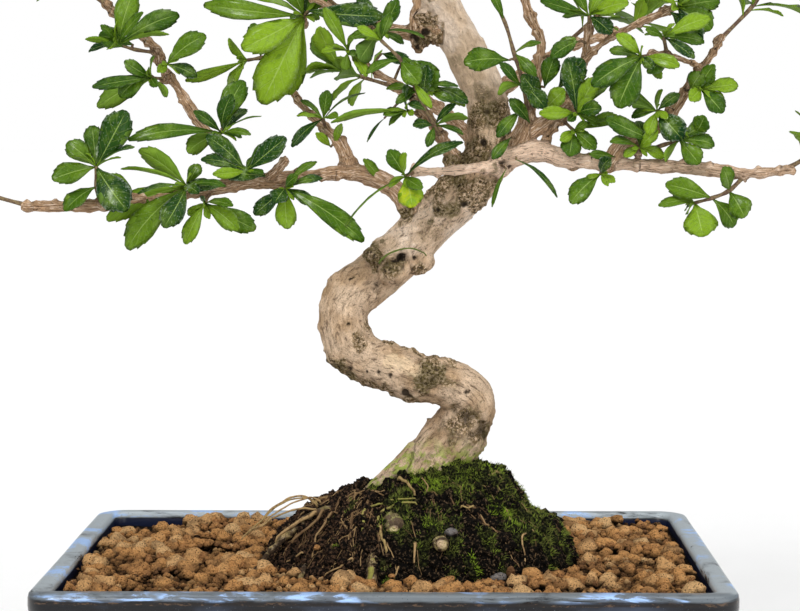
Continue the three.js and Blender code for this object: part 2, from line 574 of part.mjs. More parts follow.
function moundRing(share, grow, heightAt) {
  const ring = [];
  for (let spoke = 0; spoke < MOUND.spokes; spoke += 1) {
    const angle = (spoke / MOUND.spokes) * 2 * Math.PI;
    const reach = (moundReach(angle) + grow) * share;
    const x = MOUND.centre[0] + reach * Math.cos(angle);
    const y = MOUND.centre[1] + reach * Math.sin(angle);
    ring.push(new THREE.Vector3(x, y, heightAt(angle)));
  }
  return ring;
}

function moundSolid() {
  const draw = seeded(MOUND.seed);
  const ground = FOOT.height + POT.floor + GAP;
  const foot = GRANULES.valley + 2;
  const centre = new THREE.Vector3(MOUND.centre[0], MOUND.centre[1], ground);
  const rings = [moundRing(1, 0, () => ground)];
  [...MOUND.rings].reverse().forEach((share) => {
    rings.push(moundRing(share, 0, (angle) => {
      const rise = MOUND.height + MOUND.lean * Math.cos(angle);
      const lump = (draw() - 0.5) * MOUND.lumps * 2;
      return foot + rise * (1 - share ** MOUND.steepness) + lump;
    }));
  });
  const summit = centre.clone().setZ(foot + MOUND.height);
  return skin(rings, centre, summit);
}

// The root ball with the mound on top, hollowed for the wood and for the screens below it
function rootBall(woodRoom) {
  let ball = moundSolid().subtract(woodRoom);
  for (const signX of [-1, 1]) {
    ball = ball.subtract(screenRoom(signX));
  }
  return largest(ball);
}

// The hole in the granules that the root ball stands in
function moundRoom() {
  const low = moundRing(1, GAP, () => FOOT.height);
  const high = moundRing(1, GAP, () => POT.height + MOUND.height);
  const centre = new THREE.Vector3(MOUND.centre[0], MOUND.centre[1], FOOT.height);
  return skin([low, high], centre, centre.clone().setZ(POT.height + MOUND.height));
}

// The bed's upper side: a lattice in which every third point is a granule's top
function granuleBlock() {
  const draw = seeded(GRANULES.seed);
  const step = GRANULES.spacing / Math.sqrt(3);
  const rowStep = step * Math.sqrt(3) / 2;
  const columns = Math.ceil(POT.width / step) + 2;
  const rows = Math.ceil(POT.depth / rowStep) + 2;
  const ground = FOOT.height + POT.floor / 2;
  const points = [];
  const index = [];
  for (let row = 0; row <= rows; row += 1) {
    for (let column = 0; column <= columns; column += 1) {
      const isTop = (column + 2 * row + 2 * Math.floor(row / 2)) % 3 === 0;
      const x = (column - columns / 2 + (row % 2) / 2) * step + (draw() - 0.5) * GRANULES.wander;
      const y = (row - rows / 2) * rowStep + (draw() - 0.5) * GRANULES.wander;
      const lift = (draw() - 0.5) * GRANULES.wander;
      points.push(x, y, (isTop ? GRANULES.peak : GRANULES.valley) + lift);
    }
  }
  const wide = columns + 1;
  const topCount = points.length / 3;
  for (let corner = 0; corner < topCount; corner += 1) {
    points.push(points[3 * corner], points[3 * corner + 1], ground);
  }
  const face = (a, b, c) => {
    index.push(a, b, c);
    index.push(a + topCount, c + topCount, b + topCount);
  };
  for (let row = 0; row < rows; row += 1) {
    for (let column = 0; column < columns; column += 1) {
      const here = row * wide + column;
      if (row % 2 === 0) {
        face(here, here + 1, here + wide);
        face(here + 1, here + wide + 1, here + wide);
      } else {
        face(here, here + 1, here + wide + 1);
        face(here, here + wide + 1, here + wide);
      }
    }
  }
  const wallPiece = (a, b) => {
    index.push(b, a, a + topCount);
    index.push(b, a + topCount, b + topCount);
  };
  for (let column = 0; column < columns; column += 1) {
    wallPiece(column, column + 1);
    wallPiece(rows * wide + column + 1, rows * wide + column);
  }
  for (let row = 0; row < rows; row += 1) {
    wallPiece((row + 1) * wide, row * wide);
    wallPiece(row * wide + columns, (row + 1) * wide + columns);
  }
  const geometry = new THREE.BufferGeometry();
  geometry.setAttribute("position", new THREE.Float32BufferAttribute(points, 3));
  geometry.setIndex(index);
  return solidOf(geometry);
}

function granulesSolid(woodRoom) {
  const room = lofted(innerLevels(GAP));
  let bed = granuleBlock().intersect(room).subtract(moundRoom()).subtract(woodRoom);
  for (const signX of [-1, 1]) {
    bed = bed.subtract(screenRoom(signX));
  }
  return largest(bed);
}

// A round limb through points that carry their radius, thicker all over by grow
function limb(points, sides, steps, grow = 0) {
  const curve = new THREE.CatmullRomCurve3(points.map(vector), false, "catmullrom", 0.5);
  const rings = [];
  let out = new THREE.Vector3(0.3, -1, 0.2);
  for (let step = 0; step <= steps; step += 1) {
    const along = step / steps;
    const place = along * (points.length - 1);
    const before = Math.min(Math.floor(place), points.length - 2);
    const radius = THREE.MathUtils.lerp(points[before][3], points[before + 1][3], place - before) + grow;
    const centre = curve.getPoint(along);
    const heading = curve.getTangent(along);
    out = out.addScaledVector(heading, -out.dot(heading)).normalize();
    const side = heading.clone().cross(out);
    const ring = [];
    for (let corner = 0; corner < sides; corner += 1) {
      const angle = (corner / sides) * 2 * Math.PI;
      const spoke = out.clone().multiplyScalar(Math.cos(angle)).addScaledVector(side, Math.sin(angle));
      ring.push(centre.clone().addScaledVector(spoke, radius));
    }
    rings.push(ring);
  }
  const startRadius = points[0][3] + grow;
  const endRadius = points[points.length - 1][3] + grow;
  const first = curve.getPoint(0).addScaledVector(curve.getTangent(0), -startRadius / 2);
  const last = curve.getPoint(1).addScaledVector(curve.getTangent(1), endRadius / 2);
  return skin(rings, first, last);
}

function knot(centre, size, grow = 0) {
  const geometry = new THREE.IcosahedronGeometry(1, 0);
  geometry.scale(size[0] + grow, size[1] + grow, size[2] + grow);
  geometry.translate(centre[0], centre[1], centre[2]);
  return solidOf(geometry);
}

function woodSolid(grow) {
  const limbs = LIMBS.map(({ points, sides = BRANCH_SIDES, steps }) => limb(points, sides, steps, grow));
  const knots = KNOTS.map(([centre, size]) => knot(centre, size, grow));
  return joined([...limbs, ...knots]);
}

// One leaf blade: arched from root to tip, folded up along its middle, toothed at the tip.
// Its outline runs from the root's right side round the tip to the root's left side.
// Only a long blade has a point on its rib.
function bladeShape({ root, tip, width, facing }) {
  const along = tip.clone().sub(root);
  const length = along.length();
  along.normalize();
  const normal = facing.clone().addScaledVector(along, -facing.dot(along)).normalize();
  const across = along.clone().cross(normal);
  const place = (share, half) => {
    const rise = LEAF.arch * length * 4 * share * (1 - share) + LEAF.fold * Math.abs(half) * width / 2;
    return root.clone()
      .addScaledVector(along, share * length)
      .addScaledVector(across, half * width / 2)
      .addScaledVector(normal, rise);
  };
  const isLong = length > LEAF.longFrom;
  const side = isLong ? LEAF.longOutline : LEAF.shortOutline;
  const right = side.map(([share, half]) => place(share, half));
  const left = side.map(([share, half]) => place(share, -half)).reverse();
  const rib = isLong ? [place(LEAF.rib, 0)] : [];
  return { outline: [...right, place(1, 0), ...left], rib, normal, across };
}

function solidOfMesh({ points, index }) {
  const geometry = new THREE.BufferGeometry();
  geometry.setAttribute("position", new THREE.Float32BufferAttribute(points.flatMap((p) => p.toArray()), 3));
  geometry.setIndex(index);
  return solidOf(geometry);
}

// The faces of a blade's one side, round its outline from the two root corners, 0 and 1. With a
// rib they meet in its point, which comes after the outline. Without it they meet in the corners.
function bladeFaces(count, ribbed) {
  const tip = (count + 1) / 2;
  const faces = ribbed ? [] : [[0, 1, tip]];
  for (let place = 0; place < count; place += 1) {
    const next = (place + 1) % count;
    if (ribbed) {
      faces.push([count, place, next]);
    } else if (place > 1 && next > 0) {
      faces.push([place < tip ? 1 : 0, place, next]);
    }
  }
  return faces;
}

// A closed blade on a root of four corners: its upper left, upper right, lower right and
// lower left one. The root is split into two triangles from the corner with the number given.
function bladeSolid(root, shape, thickness, splitFrom) {
  const [upperLeft, upperRight, lowerRight, lowerLeft] = root;
  const down = shape.normal.clone().multiplyScalar(-thickness);
  const free = [...shape.outline, ...shape.rib];
  const upper = [upperLeft, upperRight, ...free];
  const lower = [lowerLeft, lowerRight, ...free.map((point) => point.clone().add(down))];
  const below = upper.length;
  const count = 2 + shape.outline.length;
  const index = bladeFaces(count, shape.rib.length > 0).flatMap(([a, b, c]) => (
    [a, b, c, a + below, c + below, b + below]
  ));
  for (let place = 1; place < count; place += 1) {
    const next = (place + 1) % count;
    index.push(place, place + below, next + below, place, next + below, next);
  }
  const corners = [0, below, below + 1, 1];
  const corner = (step) => corners[(splitFrom + step) % corners.length];
  index.push(corner(0), corner(1), corner(2), corner(0), corner(2), corner(3));
  return solidOfMesh({ points: [...upper, ...lower], index });
}

// A leaf with room round it, from a share of its length to its tip
function roomyBlade({ root, tip, width, facing }, fromShare) {
  const start = root.clone().lerp(tip, fromShare);
  const shape = bladeShape({ root: start, tip, width, facing });
  const thick = LEAF.thickness + LEAF.clearance;
  const half = shape.across.clone().multiplyScalar(STEM.radius / 2);
  const down = shape.normal.clone().multiplyScalar(-thick);
  const upperLeft = start.clone().sub(half);
  const upperRight = start.clone().add(half);
  const corners = [upperLeft, upperRight, upperRight.clone().add(down), upperLeft.clone().add(down)];
  return bladeSolid(corners, shape, thick, 0);
}

// What a leaf listed by hand grows from and looks towards
function listedLeaf(stem, [from, x, y, z, width, turn]) {
  const root = vector(stem[from]);
  const tip = root.clone().add(new THREE.Vector3(x, y, z));
  const facing = new THREE.Vector3(0, -turn, 1 - Math.abs(turn));
  return { from, root, tip, width, facing };
}

// Leaves that turn round their stem by the golden angle and close up towards its tip
function grownShoot(line, count, length, seed) {
  const draw = seeded(seed);
  const curve = new THREE.CatmullRomCurve3(line.map(vector), false, "catmullrom", 0.5);
  const stem = GROWTH.nodes.map((share) => curve.getPoint(share));
  const radians = THREE.MathUtils.degToRad;
  const leaves = [];
  for (let number = 0; number < count; number += 1) {
    const share = number / (count - 1);
    const from = 1 + Math.round(share * (stem.length - 2));
    const root = stem[from];
    const heading = curve.getTangent(GROWTH.nodes[from]);
    const side = new THREE.Vector3(0, 0, 1).cross(heading).normalize();
    const over = heading.clone().cross(side);
    const angle = radians(number * GROWTH.turn + (draw() - 0.5) * GROWTH.wander);
    const open = radians(THREE.MathUtils.lerp(GROWTH.openBelow, GROWTH.openAbove, share)
      + (draw() - 0.5) * GROWTH.wander);
    const reach = length * THREE.MathUtils.lerp(GROWTH.shortest, GROWTH.longest, draw());
    const width = reach * THREE.MathUtils.lerp(GROWTH.slimmest, GROWTH.broadest, draw());
    const outward = side.multiplyScalar(Math.cos(angle)).addScaledVector(over, Math.sin(angle));
    const aim = heading.clone().multiplyScalar(Math.cos(open)).addScaledVector(outward, Math.sin(open));
    const facing = heading.clone().add(new THREE.Vector3(0, 0, GROWTH.skyward));
    leaves.push({ from, root, tip: root.clone().addScaledVector(aim, reach), width, facing });
  }
  return { stem: stem.map((point) => point.toArray()), leaves };
}

function boxesMeet(a, b) {
  return [0, 1, 2].every((axis) => a.min[axis] <= b.max[axis] && b.min[axis] <= a.max[axis]);
}

// Whether a leaf would cross the wood, a shoot that already stands or a leaf of its own shoot
function crosses(leaf, wood, standing, ownLeaves) {
  const whole = roomyBlade(leaf, 0);
  const outer = roomyBlade(leaf, LEAF.innerPart);
  const box = whole.boundingBox();
  return outer.intersect(wood).volume() > 0
    || ownLeaves.some((other) => outer.intersect(other).volume() > 0)
    || standing.some((shoot) => boxesMeet(box, shoot.boundingBox()) && whole.intersect(shoot).volume() > 0);
}

function facetOf(from, corners) {
  const [a, b, c, d] = corners;
  const centre = a.clone().add(b).add(c).add(d).multiplyScalar(1 / corners.length);
  const outward = c.clone().sub(a).cross(d.clone().sub(b)).normalize();
  return { from, corners, centre, outward };
}

// A stem, and the facets on it that leaves can grow from. Where leaves grow, it has a collar
// of a few rings.
function stemWithFacets(stem, leaves) {
  const line = stem.map(vector);
  const points = [];
  const index = [];
  const facets = [];
  let out = new THREE.Vector3(...STEM.out);
  let below = null;
  line.forEach((centre, number) => {
    const heading = line[Math.min(number + 1, line.length - 1)].clone()
      .sub(line[Math.max(number - 1, 0)]).normalize();
    out = out.addScaledVector(heading, -out.dot(heading)).normalize();
    const side = heading.clone().cross(out);
    const grownHere = leaves.filter(({ from }) => from === number).length;
    const rings = grownHere > 0 ? 1 + Math.ceil(grownHere / STEM.sides) : 1;
    for (let level = 0; level < rings; level += 1) {
      const middle = centre.clone().addScaledVector(heading, (level - (rings - 1) / 2) * STEM.collar);
      const ring = [];
      for (let corner = 0; corner < STEM.sides; corner += 1) {
        const angle = ((corner + level / 2) / STEM.sides) * 2 * Math.PI;
        const spoke = out.clone().multiplyScalar(Math.cos(angle)).addScaledVector(side, Math.sin(angle));
        ring.push(points.push(middle.clone().addScaledVector(spoke, STEM.radius)) - 1);
      }
      const following = (corner) => (corner + 1) % STEM.sides;
      if (below === null) {
        const butt = points.push(middle.clone().addScaledVector(heading, -STEM.radius / 2)) - 1;
        ring.forEach((corner, place) => index.push(butt, ring[following(place)], corner));
      } else {
        const lower = below;
        ring.forEach((corner, place) => {
          const [a, b, c, d] = [lower[place], lower[following(place)], ring[following(place)], corner];
          index.push(a, b, c, a, c, d);
          if (level > 0) facets.push(facetOf(number, [a, b, c, d].map((at) => points[at])));
        });
      }
      below = ring;
      if (number === line.length - 1 && level === rings - 1) {
        const bud = points.push(middle.clone().addScaledVector(heading, STEM.radius)) - 1;
        ring.forEach((corner, place) => index.push(corner, ring[following(place)], bud));
      }
    }
  });
  return { solid: solidOfMesh({ points, index }), facets };
}

// How badly a leaf would grow from a facet: 0 where the facet looks straight along the leaf
function strain(leaf, facet) {
  if (!leaf) return 0;
  const aim = leaf.tip.clone().sub(facet.centre).normalize();
  return (1 - aim.dot(facet.outward)) ** 2;
}

// Gives every leaf a facet at its stem point and changes places for as long as that eases them
function rootedLeaves(facets, leaves) {
  const rooted = [];
  new Set(leaves.map(({ from }) => from)).forEach((from) => {
    const here = facets.filter((facet) => facet.from === from);
    const guests = leaves.filter((leaf) => leaf.from === from);
    let changed = true;
    while (changed) {
      changed = false;
      for (let one = 0; one < here.length; one += 1) {
        for (let other = one + 1; other < here.length; other += 1) {
          const now = strain(guests[one], here[one]) + strain(guests[other], here[other]);
          const then = strain(guests[other], here[one]) + strain(guests[one], here[other]);
          if (then < now - 1e-9) {
            [guests[one], guests[other]] = [guests[other], guests[one]];
            changed = true;
          }
        }
      }
    }
    here.forEach(({ centre, corners }, place) => {
      if (guests[place]) rooted.push({ ...guests[place], root: centre, corners });
    });
  });
  return rooted;
}

// A leaf's blade on its facet, whose corners are turned so that the upper left one is first
function facetBlade(leaf) {
  const shape = bladeShape(leaf);
  const turned = (shift) => leaf.corners.map((corner, number) => leaf.corners[(number + shift) % 4]);
  const fit = (shift) => {
    const [upperLeft, upperRight, lowerRight, lowerLeft] = turned(shift);
    const right = upperRight.clone().add(lowerRight).sub(upperLeft).sub(lowerLeft);
    const up = upperLeft.clone().add(upperRight).sub(lowerLeft).sub(lowerRight);
    return right.dot(shape.across) + up.dot(shape.normal);
  };
  const best = [0, 1, 2, 3].reduce((chosen, shift) => (fit(shift) > fit(chosen) ? shift : chosen));
  return bladeSolid(turned(best), shape, LEAF.thickness, best % 2);
}

function shootSolid(stem, leaves, wood, woodRoom, standing) {
  const grown = [];
  const taken = [];
  leaves.forEach((leaf) => {
    if (crosses(leaf, wood, standing, taken)) return;
    grown.push(leaf);
    taken.push(roomyBlade(leaf, LEAF.innerPart));
  });
  const { solid, facets } = stemWithFacets(stem, grown);
  const blades = rootedLeaves(facets, grown).map(facetBlade);
  return largest(joined([solid, ...blades]).subtract(woodRoom));
}

const bonsai = new THREE.Group();
const wood = woodSolid(0);
const woodRoom = woodSolid(GAP);
bonsai.add(meshOf("pot", potSolid(), glaze));
bonsai.add(meshOf("drain_screen_left", screenSolid(-1), plastic));
bonsai.add(meshOf("drain_screen_right", screenSolid(1), plastic));
bonsai.add(meshOf("soil_granules", granulesSolid(woodRoom), clay));
bonsai.add(meshOf("root_mound", rootBall(woodRoom), peat));
bonsai.add(meshOf("trunk_and_branches", wood, bark));

const foliage = new THREE.Group();
const standing = [];
function addShoot(name, stem, leaves) {
  const solid = shootSolid(stem, leaves, wood, woodRoom, standing);
  standing.push(solid);
  foliage.add(meshOf(`shoot_${name}`, solid, leafGreen));
}
Object.entries(SEEN_SHOOTS).forEach(([name, { stem, leaves }]) => {
  addShoot(name, stem, leaves.map((leaf) => listedLeaf(stem, leaf)));
});
Object.entries(GROWN_SHOOTS).forEach(([name, { stem, count, length }], number) => {
  const grown = grownShoot(stem, count, length, GROWTH.firstSeed + number);
  addShoot(name, grown.stem, grown.leaves);
});
bonsai.add(foliage);

export default bonsai;
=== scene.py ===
"""Looks of a fukien tea bonsai in its glazed pot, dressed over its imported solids.

Lengths in this file are in millimetres, and become metres where a mesh is made.
"""

import json
import logging
import math
from dataclasses import dataclass, field, replace
from enum import Enum
from typing import Any, Iterable, Sequence

import bmesh
import bpy
import numpy as np
from bpy.types import Material, Mesh, Node, NodeSocket, NodeTree, Object
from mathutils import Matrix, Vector

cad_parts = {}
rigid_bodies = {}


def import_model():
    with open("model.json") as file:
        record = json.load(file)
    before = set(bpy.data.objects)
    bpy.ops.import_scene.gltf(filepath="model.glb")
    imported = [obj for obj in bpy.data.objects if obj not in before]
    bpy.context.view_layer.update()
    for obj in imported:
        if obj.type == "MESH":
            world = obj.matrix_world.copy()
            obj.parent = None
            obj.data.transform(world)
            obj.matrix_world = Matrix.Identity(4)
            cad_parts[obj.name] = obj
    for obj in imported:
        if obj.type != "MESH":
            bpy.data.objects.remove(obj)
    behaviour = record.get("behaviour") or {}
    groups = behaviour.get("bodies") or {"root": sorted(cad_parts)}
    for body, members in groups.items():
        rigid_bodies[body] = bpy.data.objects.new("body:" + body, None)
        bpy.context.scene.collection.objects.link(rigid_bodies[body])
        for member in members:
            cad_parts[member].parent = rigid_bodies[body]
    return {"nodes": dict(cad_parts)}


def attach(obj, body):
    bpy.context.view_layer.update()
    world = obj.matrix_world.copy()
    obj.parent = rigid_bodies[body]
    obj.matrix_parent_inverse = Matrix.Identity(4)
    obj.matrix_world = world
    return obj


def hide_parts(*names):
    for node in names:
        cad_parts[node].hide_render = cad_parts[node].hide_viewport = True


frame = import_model()

LOG = logging.getLogger("bonsai")
MM = 0.001
UP = np.array([0.0, 0.0, 1.0])
Point = tuple[float, float, float]
Colour = tuple[float, float, float, float]
Scale = float | Point


def srgb(red: int, green: int, blue: int) -> Colour:
    """Turns a display colour into the linear one that a shader takes.

    Args:
        red: Red from 0 to 255.
        green: Green from 0 to 255.
        blue: Blue from 0 to 255.

    Returns:
        The linear colour with full alpha.
    """
    def linear(channel: int) -> float:
        """One channel as a share of full light."""
        share = channel / 255
        return share / 12.92 if share <= 0.04045 else ((share + 0.055) / 1.055) ** 2.4

    return (linear(red), linear(green), linear(blue), 1.0)


def unit(vector: np.ndarray) -> np.ndarray:
    """Gives a vector, or each row of vectors, the length 1."""
    return vector / np.maximum(np.linalg.norm(vector, axis=-1, keepdims=True), 1e-12)


def apart(points: np.ndarray, centre: Sequence[float]) -> np.ndarray:
    """How far each point is from a place."""
    return np.linalg.norm(points - np.array(centre), axis=1)


class Lattice:
    """Smooth seeded noise from -1 to 1 at points in space."""

    def __init__(self, seed: int) -> None:
        """Keeps the seed."""
        self.seed = seed

    def _corner(self, cell: np.ndarray) -> np.ndarray:
        """A value from -1 to 1 for each whole-number cell.

        Args:
            cell: Rows of whole numbers.

        Returns:
            One value for each row.
        """
        cell = cell.astype(np.int64)
        mixed = cell[:, 0] * 73856093 ^ cell[:, 1] * 19349663 ^ cell[:, 2] * 83492791 ^ self.seed * 40503
        mixed = (mixed & 0xFFFFFFFF).astype(np.uint64)
        for shift, factor in ((15, 0x2C1B3C6D), (12, 0x297A2D39)):
            mixed = ((mixed ^ (mixed >> np.uint64(shift))) * np.uint64(factor)) & np.uint64(0xFFFFFFFF)
        mixed = mixed ^ (mixed >> np.uint64(15))
        return mixed.astype(float) / 2**31 - 1

    def at(self, points: np.ndarray, octaves: int = 1) -> np.ndarray:
        """Noise with finer layers added at half the strength each.

        Args:
            points: Rows of x, y and z, in noise cells.
            octaves: How many layers.

        Returns:
            One value for each row.
        """
        total = np.zeros(len(points))
        for layer in range(octaves):
            scaled = points * 2**layer + 17.3 * layer
            base = np.floor(scaled)
            part = scaled - base
            part = part * part * (3 - 2 * part)
            for corner in range(8):
                step = np.array([corner & 1, corner >> 1 & 1, corner >> 2 & 1])
                weight = np.prod(np.where(step, part, 1 - part), axis=1)
                total += weight * self._corner(base + step) / 2**layer
        return total


class Spline:
    """A smooth line through points, as the solids' limbs and stems follow it."""

    def __init__(self, points: Sequence[Sequence[float]]) -> None:
        """Keeps the points, x, y and z of each."""
        self.points = np.array([tuple(point[:3]) for point in points], float)

    def at(self, shares: np.ndarray) -> np.ndarray:
        """Points at shares of the line.

        Args:
            shares: Places from 0 to 1, where each stretch between two points counts alike.

        Returns:
            Rows of x, y and z.
        """
        known = self.points
        padded = np.vstack([2 * known[0] - known[1], known, 2 * known[-1] - known[-2]])
        place = np.clip(shares, 0, 1) * (len(known) - 1)
        start = np.minimum(place.astype(int), len(known) - 2)
        part = (place - start)[:, None]
        before, here, then, after = (padded[start + step] for step in range(4))
        leave, arrive = (then - before) / 2, (after - here) / 2
        return (here + leave * part + (3 * (then - here) - 2 * leave - arrive) * part**2
                + (2 * (here - then) + leave + arrive) * part**3)

    def heading(self, shares: np.ndarray) -> np.ndarray:
        """Directions of the line at shares of it."""
        step = 1e-4
        return unit(self.at(np.minimum(shares + step, 1)) - self.at(np.maximum(shares - step, 0)))


@dataclass
class Shell:
    """A closed mesh in the making, with values at its points."""

    points: np.ndarray
    faces: list[tuple[int, ...]]
    values: dict[str, np.ndarray] = field(default_factory=dict)

    @classmethod
    def joined(cls, shells: Iterable["Shell"]) -> "Shell":
        """Puts shells into one mesh, without merging them.

        Args:
            shells: The shells, each with the same values as the others.

        Returns:
            One shell of them all.
        """
        points: list[np.ndarray] = []
        faces: list[tuple[int, ...]] = []
        values: dict[str, list[np.ndarray]] = {}
        count = 0
        for shell in shells:
            points.append(shell.points)
            faces.extend(tuple(corner + count for corner in face) for face in shell.faces)
            for name, column in shell.values.items():
                values.setdefault(name, []).append(column)
            count += len(shell.points)
        return cls(np.vstack(points), faces, {name: np.concatenate(parts) for name, parts in values.items()})

    def mesh(self, name: str, smooth: bool = True) -> Mesh:
        """Makes the Blender mesh, in metres.

        Args:
            name: The mesh's name.
            smooth: Whether its faces are shaded smooth.

        Returns:
            The mesh with its values as point attributes.
        """
        mesh = bpy.data.meshes.new(name)
        mesh.from_pydata((self.points * MM).tolist(), [], self.faces)
        for key, column in self.values.items():
            write_values(mesh, key, column)
        if smooth:
            mesh.shade_smooth()
        mesh.update()
        return mesh

    def moved(self, size: Point, centre: Point) -> "Shell":
        """The same shape sized along x, y and z, with its middle at a place."""
        return Shell(self.points * np.array(size) + np.array(centre), self.faces)

    def toned(self, tone: float) -> "Shell":
        """The same shape with one tone all over it."""
        return Shell(self.points, self.faces, {"tone": np.full(len(self.points), tone)})


def stacked(rings: np.ndarray, ends: Sequence[np.ndarray] = ()) -> Shell:
    """Joins rings of points into a closed shell.

    Args:
        rings: The rings, each with as many points, going round to the left seen from the last one.
        ends: The points that close the first and the last ring, or none for flat ends.

    Returns:
        The shell.
    """
    count, sides = rings.shape[:2]
    last = (count - 1) * sides
    tip = last + sides
    faces: list[tuple[int, ...]] = [
        (low + side, low + (side + 1) % sides, low + sides + (side + 1) % sides, low + sides + side)
        for low in range(0, last, sides) for side in range(sides)]
    if not len(ends):
        return Shell(rings.reshape(-1, 3), [*faces, tuple(range(sides - 1, -1, -1)), tuple(range(last, tip))])
    for side in range(sides):
        faces.append((tip, (side + 1) % sides, side))
        faces.append((last + side, last + (side + 1) % sides, tip + 1))
    return Shell(np.vstack([rings.reshape(-1, 3), ends]), faces)


def rounded(half: tuple[float, float], radius: float, height: float, corner_steps: int,
            side_steps: tuple[int, int] = (1, 1)) -> np.ndarray:
    """Points round a rounded rectangle at a height.

    Args:
        half: Half its width and half its depth.
        radius: The radius of its corners.
        height: The height.
        corner_steps: How many steps each corner has.
        side_steps: How many steps the long and the short sides have.

    Returns:
        Rows of x, y and z.
    """
    ring: list[np.ndarray] = []
    signs = np.array([(1, 1, 0), (-1, 1, 0), (-1, -1, 0), (1, -1, 0)])
    middles = signs * [half[0] - radius, half[1] - radius, 0] + [0, 0, height]
    for corner in range(4):
        angles = (corner + np.arange(corner_steps + 1) / corner_steps) * math.pi / 2
        spokes = [radius * np.array([math.cos(angle), math.sin(angle), 0]) for angle in angles]
        ring.extend(middles[corner] + spoke for spoke in spokes)
        there = middles[(corner + 1) % 4] + spokes[-1]
        steps, here = side_steps[corner % 2], ring[-1]
        ring.extend(here + (there - here) * step / steps for step in range(1, steps))
    return np.array(ring)


def write_values(mesh: Mesh, name: str, column: np.ndarray) -> None:
    """Stores numbers, vectors or turns at a mesh's points, by their width.

    Args:
        mesh: The mesh.
        name: The attribute's name.
        column: One number or row for each point.
    """
    kinds = {1: ("FLOAT", "value"), 3: ("FLOAT_VECTOR", "vector"), 4: ("QUATERNION", "value")}
    width = 1 if column.ndim == 1 else column.shape[1]
    kind, slot = kinds[width]
    layer = mesh.attributes.new(name, kind, "POINT")
    layer.data.foreach_set(slot, column.astype(np.float32).ravel())


def read_points(mesh: Mesh) -> np.ndarray:
    """A mesh's points in millimetres.

    Args:
        mesh: The mesh.

    Returns:
        Rows of x, y and z.
    """
    column = np.zeros(len(mesh.vertices) * 3, np.float32)
    mesh.vertices.foreach_get("co", column)
    return column.reshape(-1, 3).astype(float) / MM


def read_normals(mesh: Mesh) -> np.ndarray:
    """A mesh's directions outwards at its points.

    Args:
        mesh: The mesh.

    Returns:
        Rows of x, y and z, each of length 1.
    """
    column = np.zeros(len(mesh.vertices) * 3, np.float32)
    mesh.vertices.foreach_get("normal", column)
    return column.reshape(-1, 3).astype(float)


def write_points(mesh: Mesh, points: np.ndarray) -> None:
    """Moves a mesh's points, given in millimetres."""
    mesh.vertices.foreach_set("co", (points * MM).astype(np.float32).ravel())
    mesh.update()


def place(mesh: Mesh, name: str) -> Object:
    """Puts a mesh into the scene as an object at the origin.

    Args:
        mesh: The mesh.
        name: The object's name.

    Returns:
        The object.
    """
    piece = bpy.data.objects.new(name, mesh)
    bpy.context.scene.collection.objects.link(piece)
    return piece


def settled(piece: Object) -> Object:
    """Turns an object's modifiers into its plain mesh.

    Args:
        piece: The object with live modifiers.

    Returns:
        The same object with the finished mesh and no modifier.
    """
    bpy.context.view_layer.update()
    graph = bpy.context.evaluated_depsgraph_get()
    made = bpy.data.meshes.new_from_object(piece.evaluated_get(graph), depsgraph=graph)
    piece.modifiers.clear()
    piece.data = made
    return piece


def hang(piece: Object, slot: str, nodes: Sequence[str] = ()) -> Object:
    """Ties a finished piece to the frame.

    Args:
        piece: The piece.
        slot: The record's material slot; not used.
        nodes: The solids that it stands for.

    Returns:
        The piece.
    """
    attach(piece, "root")
    if nodes:
        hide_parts(*nodes)
    LOG.info("%s: %d faces", piece.name, len(piece.data.polygons))
    return piece


def dress(shell: Shell, name: str, material: Material, slot: str,
          nodes: Sequence[str] = ()) -> Object:
    """Makes a shell a finished piece of one material.

    Args:
        shell: Its shape.
        name: Its name.
        material: Its material.
        slot: The record's material slot.
        nodes: The solids that it stands for.

    Returns:
        The piece.
    """
    piece = place(shell.mesh(name), name)
    piece.data.materials.append(material)
    return hang(piece, slot, nodes)


def connect(node: Node, sockets: dict[Any, Any]) -> None:
    """Sets a node's sockets, or links them where the value is a socket or a wire.

    Args:
        node: The node.
        sockets: Values, sockets or wrapped sockets by the input's name or number.
    """
    for key, value in sockets.items():
        target = node.inputs[key]
        source = value.socket if isinstance(value, Wire) else value
        if isinstance(source, NodeSocket):
            node.id_data.links.new(source, target)
        else:
            target.default_value = source


def add_node(tree: NodeTree, kind: str, settings: dict[str, Any],
             sockets: dict[Any, Any]) -> Node:
    """Adds a node, sets its options first and then its sockets.

    Args:
        tree: The tree that gets the node.
        kind: The node's type.
        settings: Options by name.
        sockets: Values, sockets or wrapped sockets by the input's name or number.

    Returns:
        The node.
    """
    node = tree.nodes.new(kind)
    for key, value in settings.items():
        setattr(node, key, value)
    connect(node, sockets)
    return node


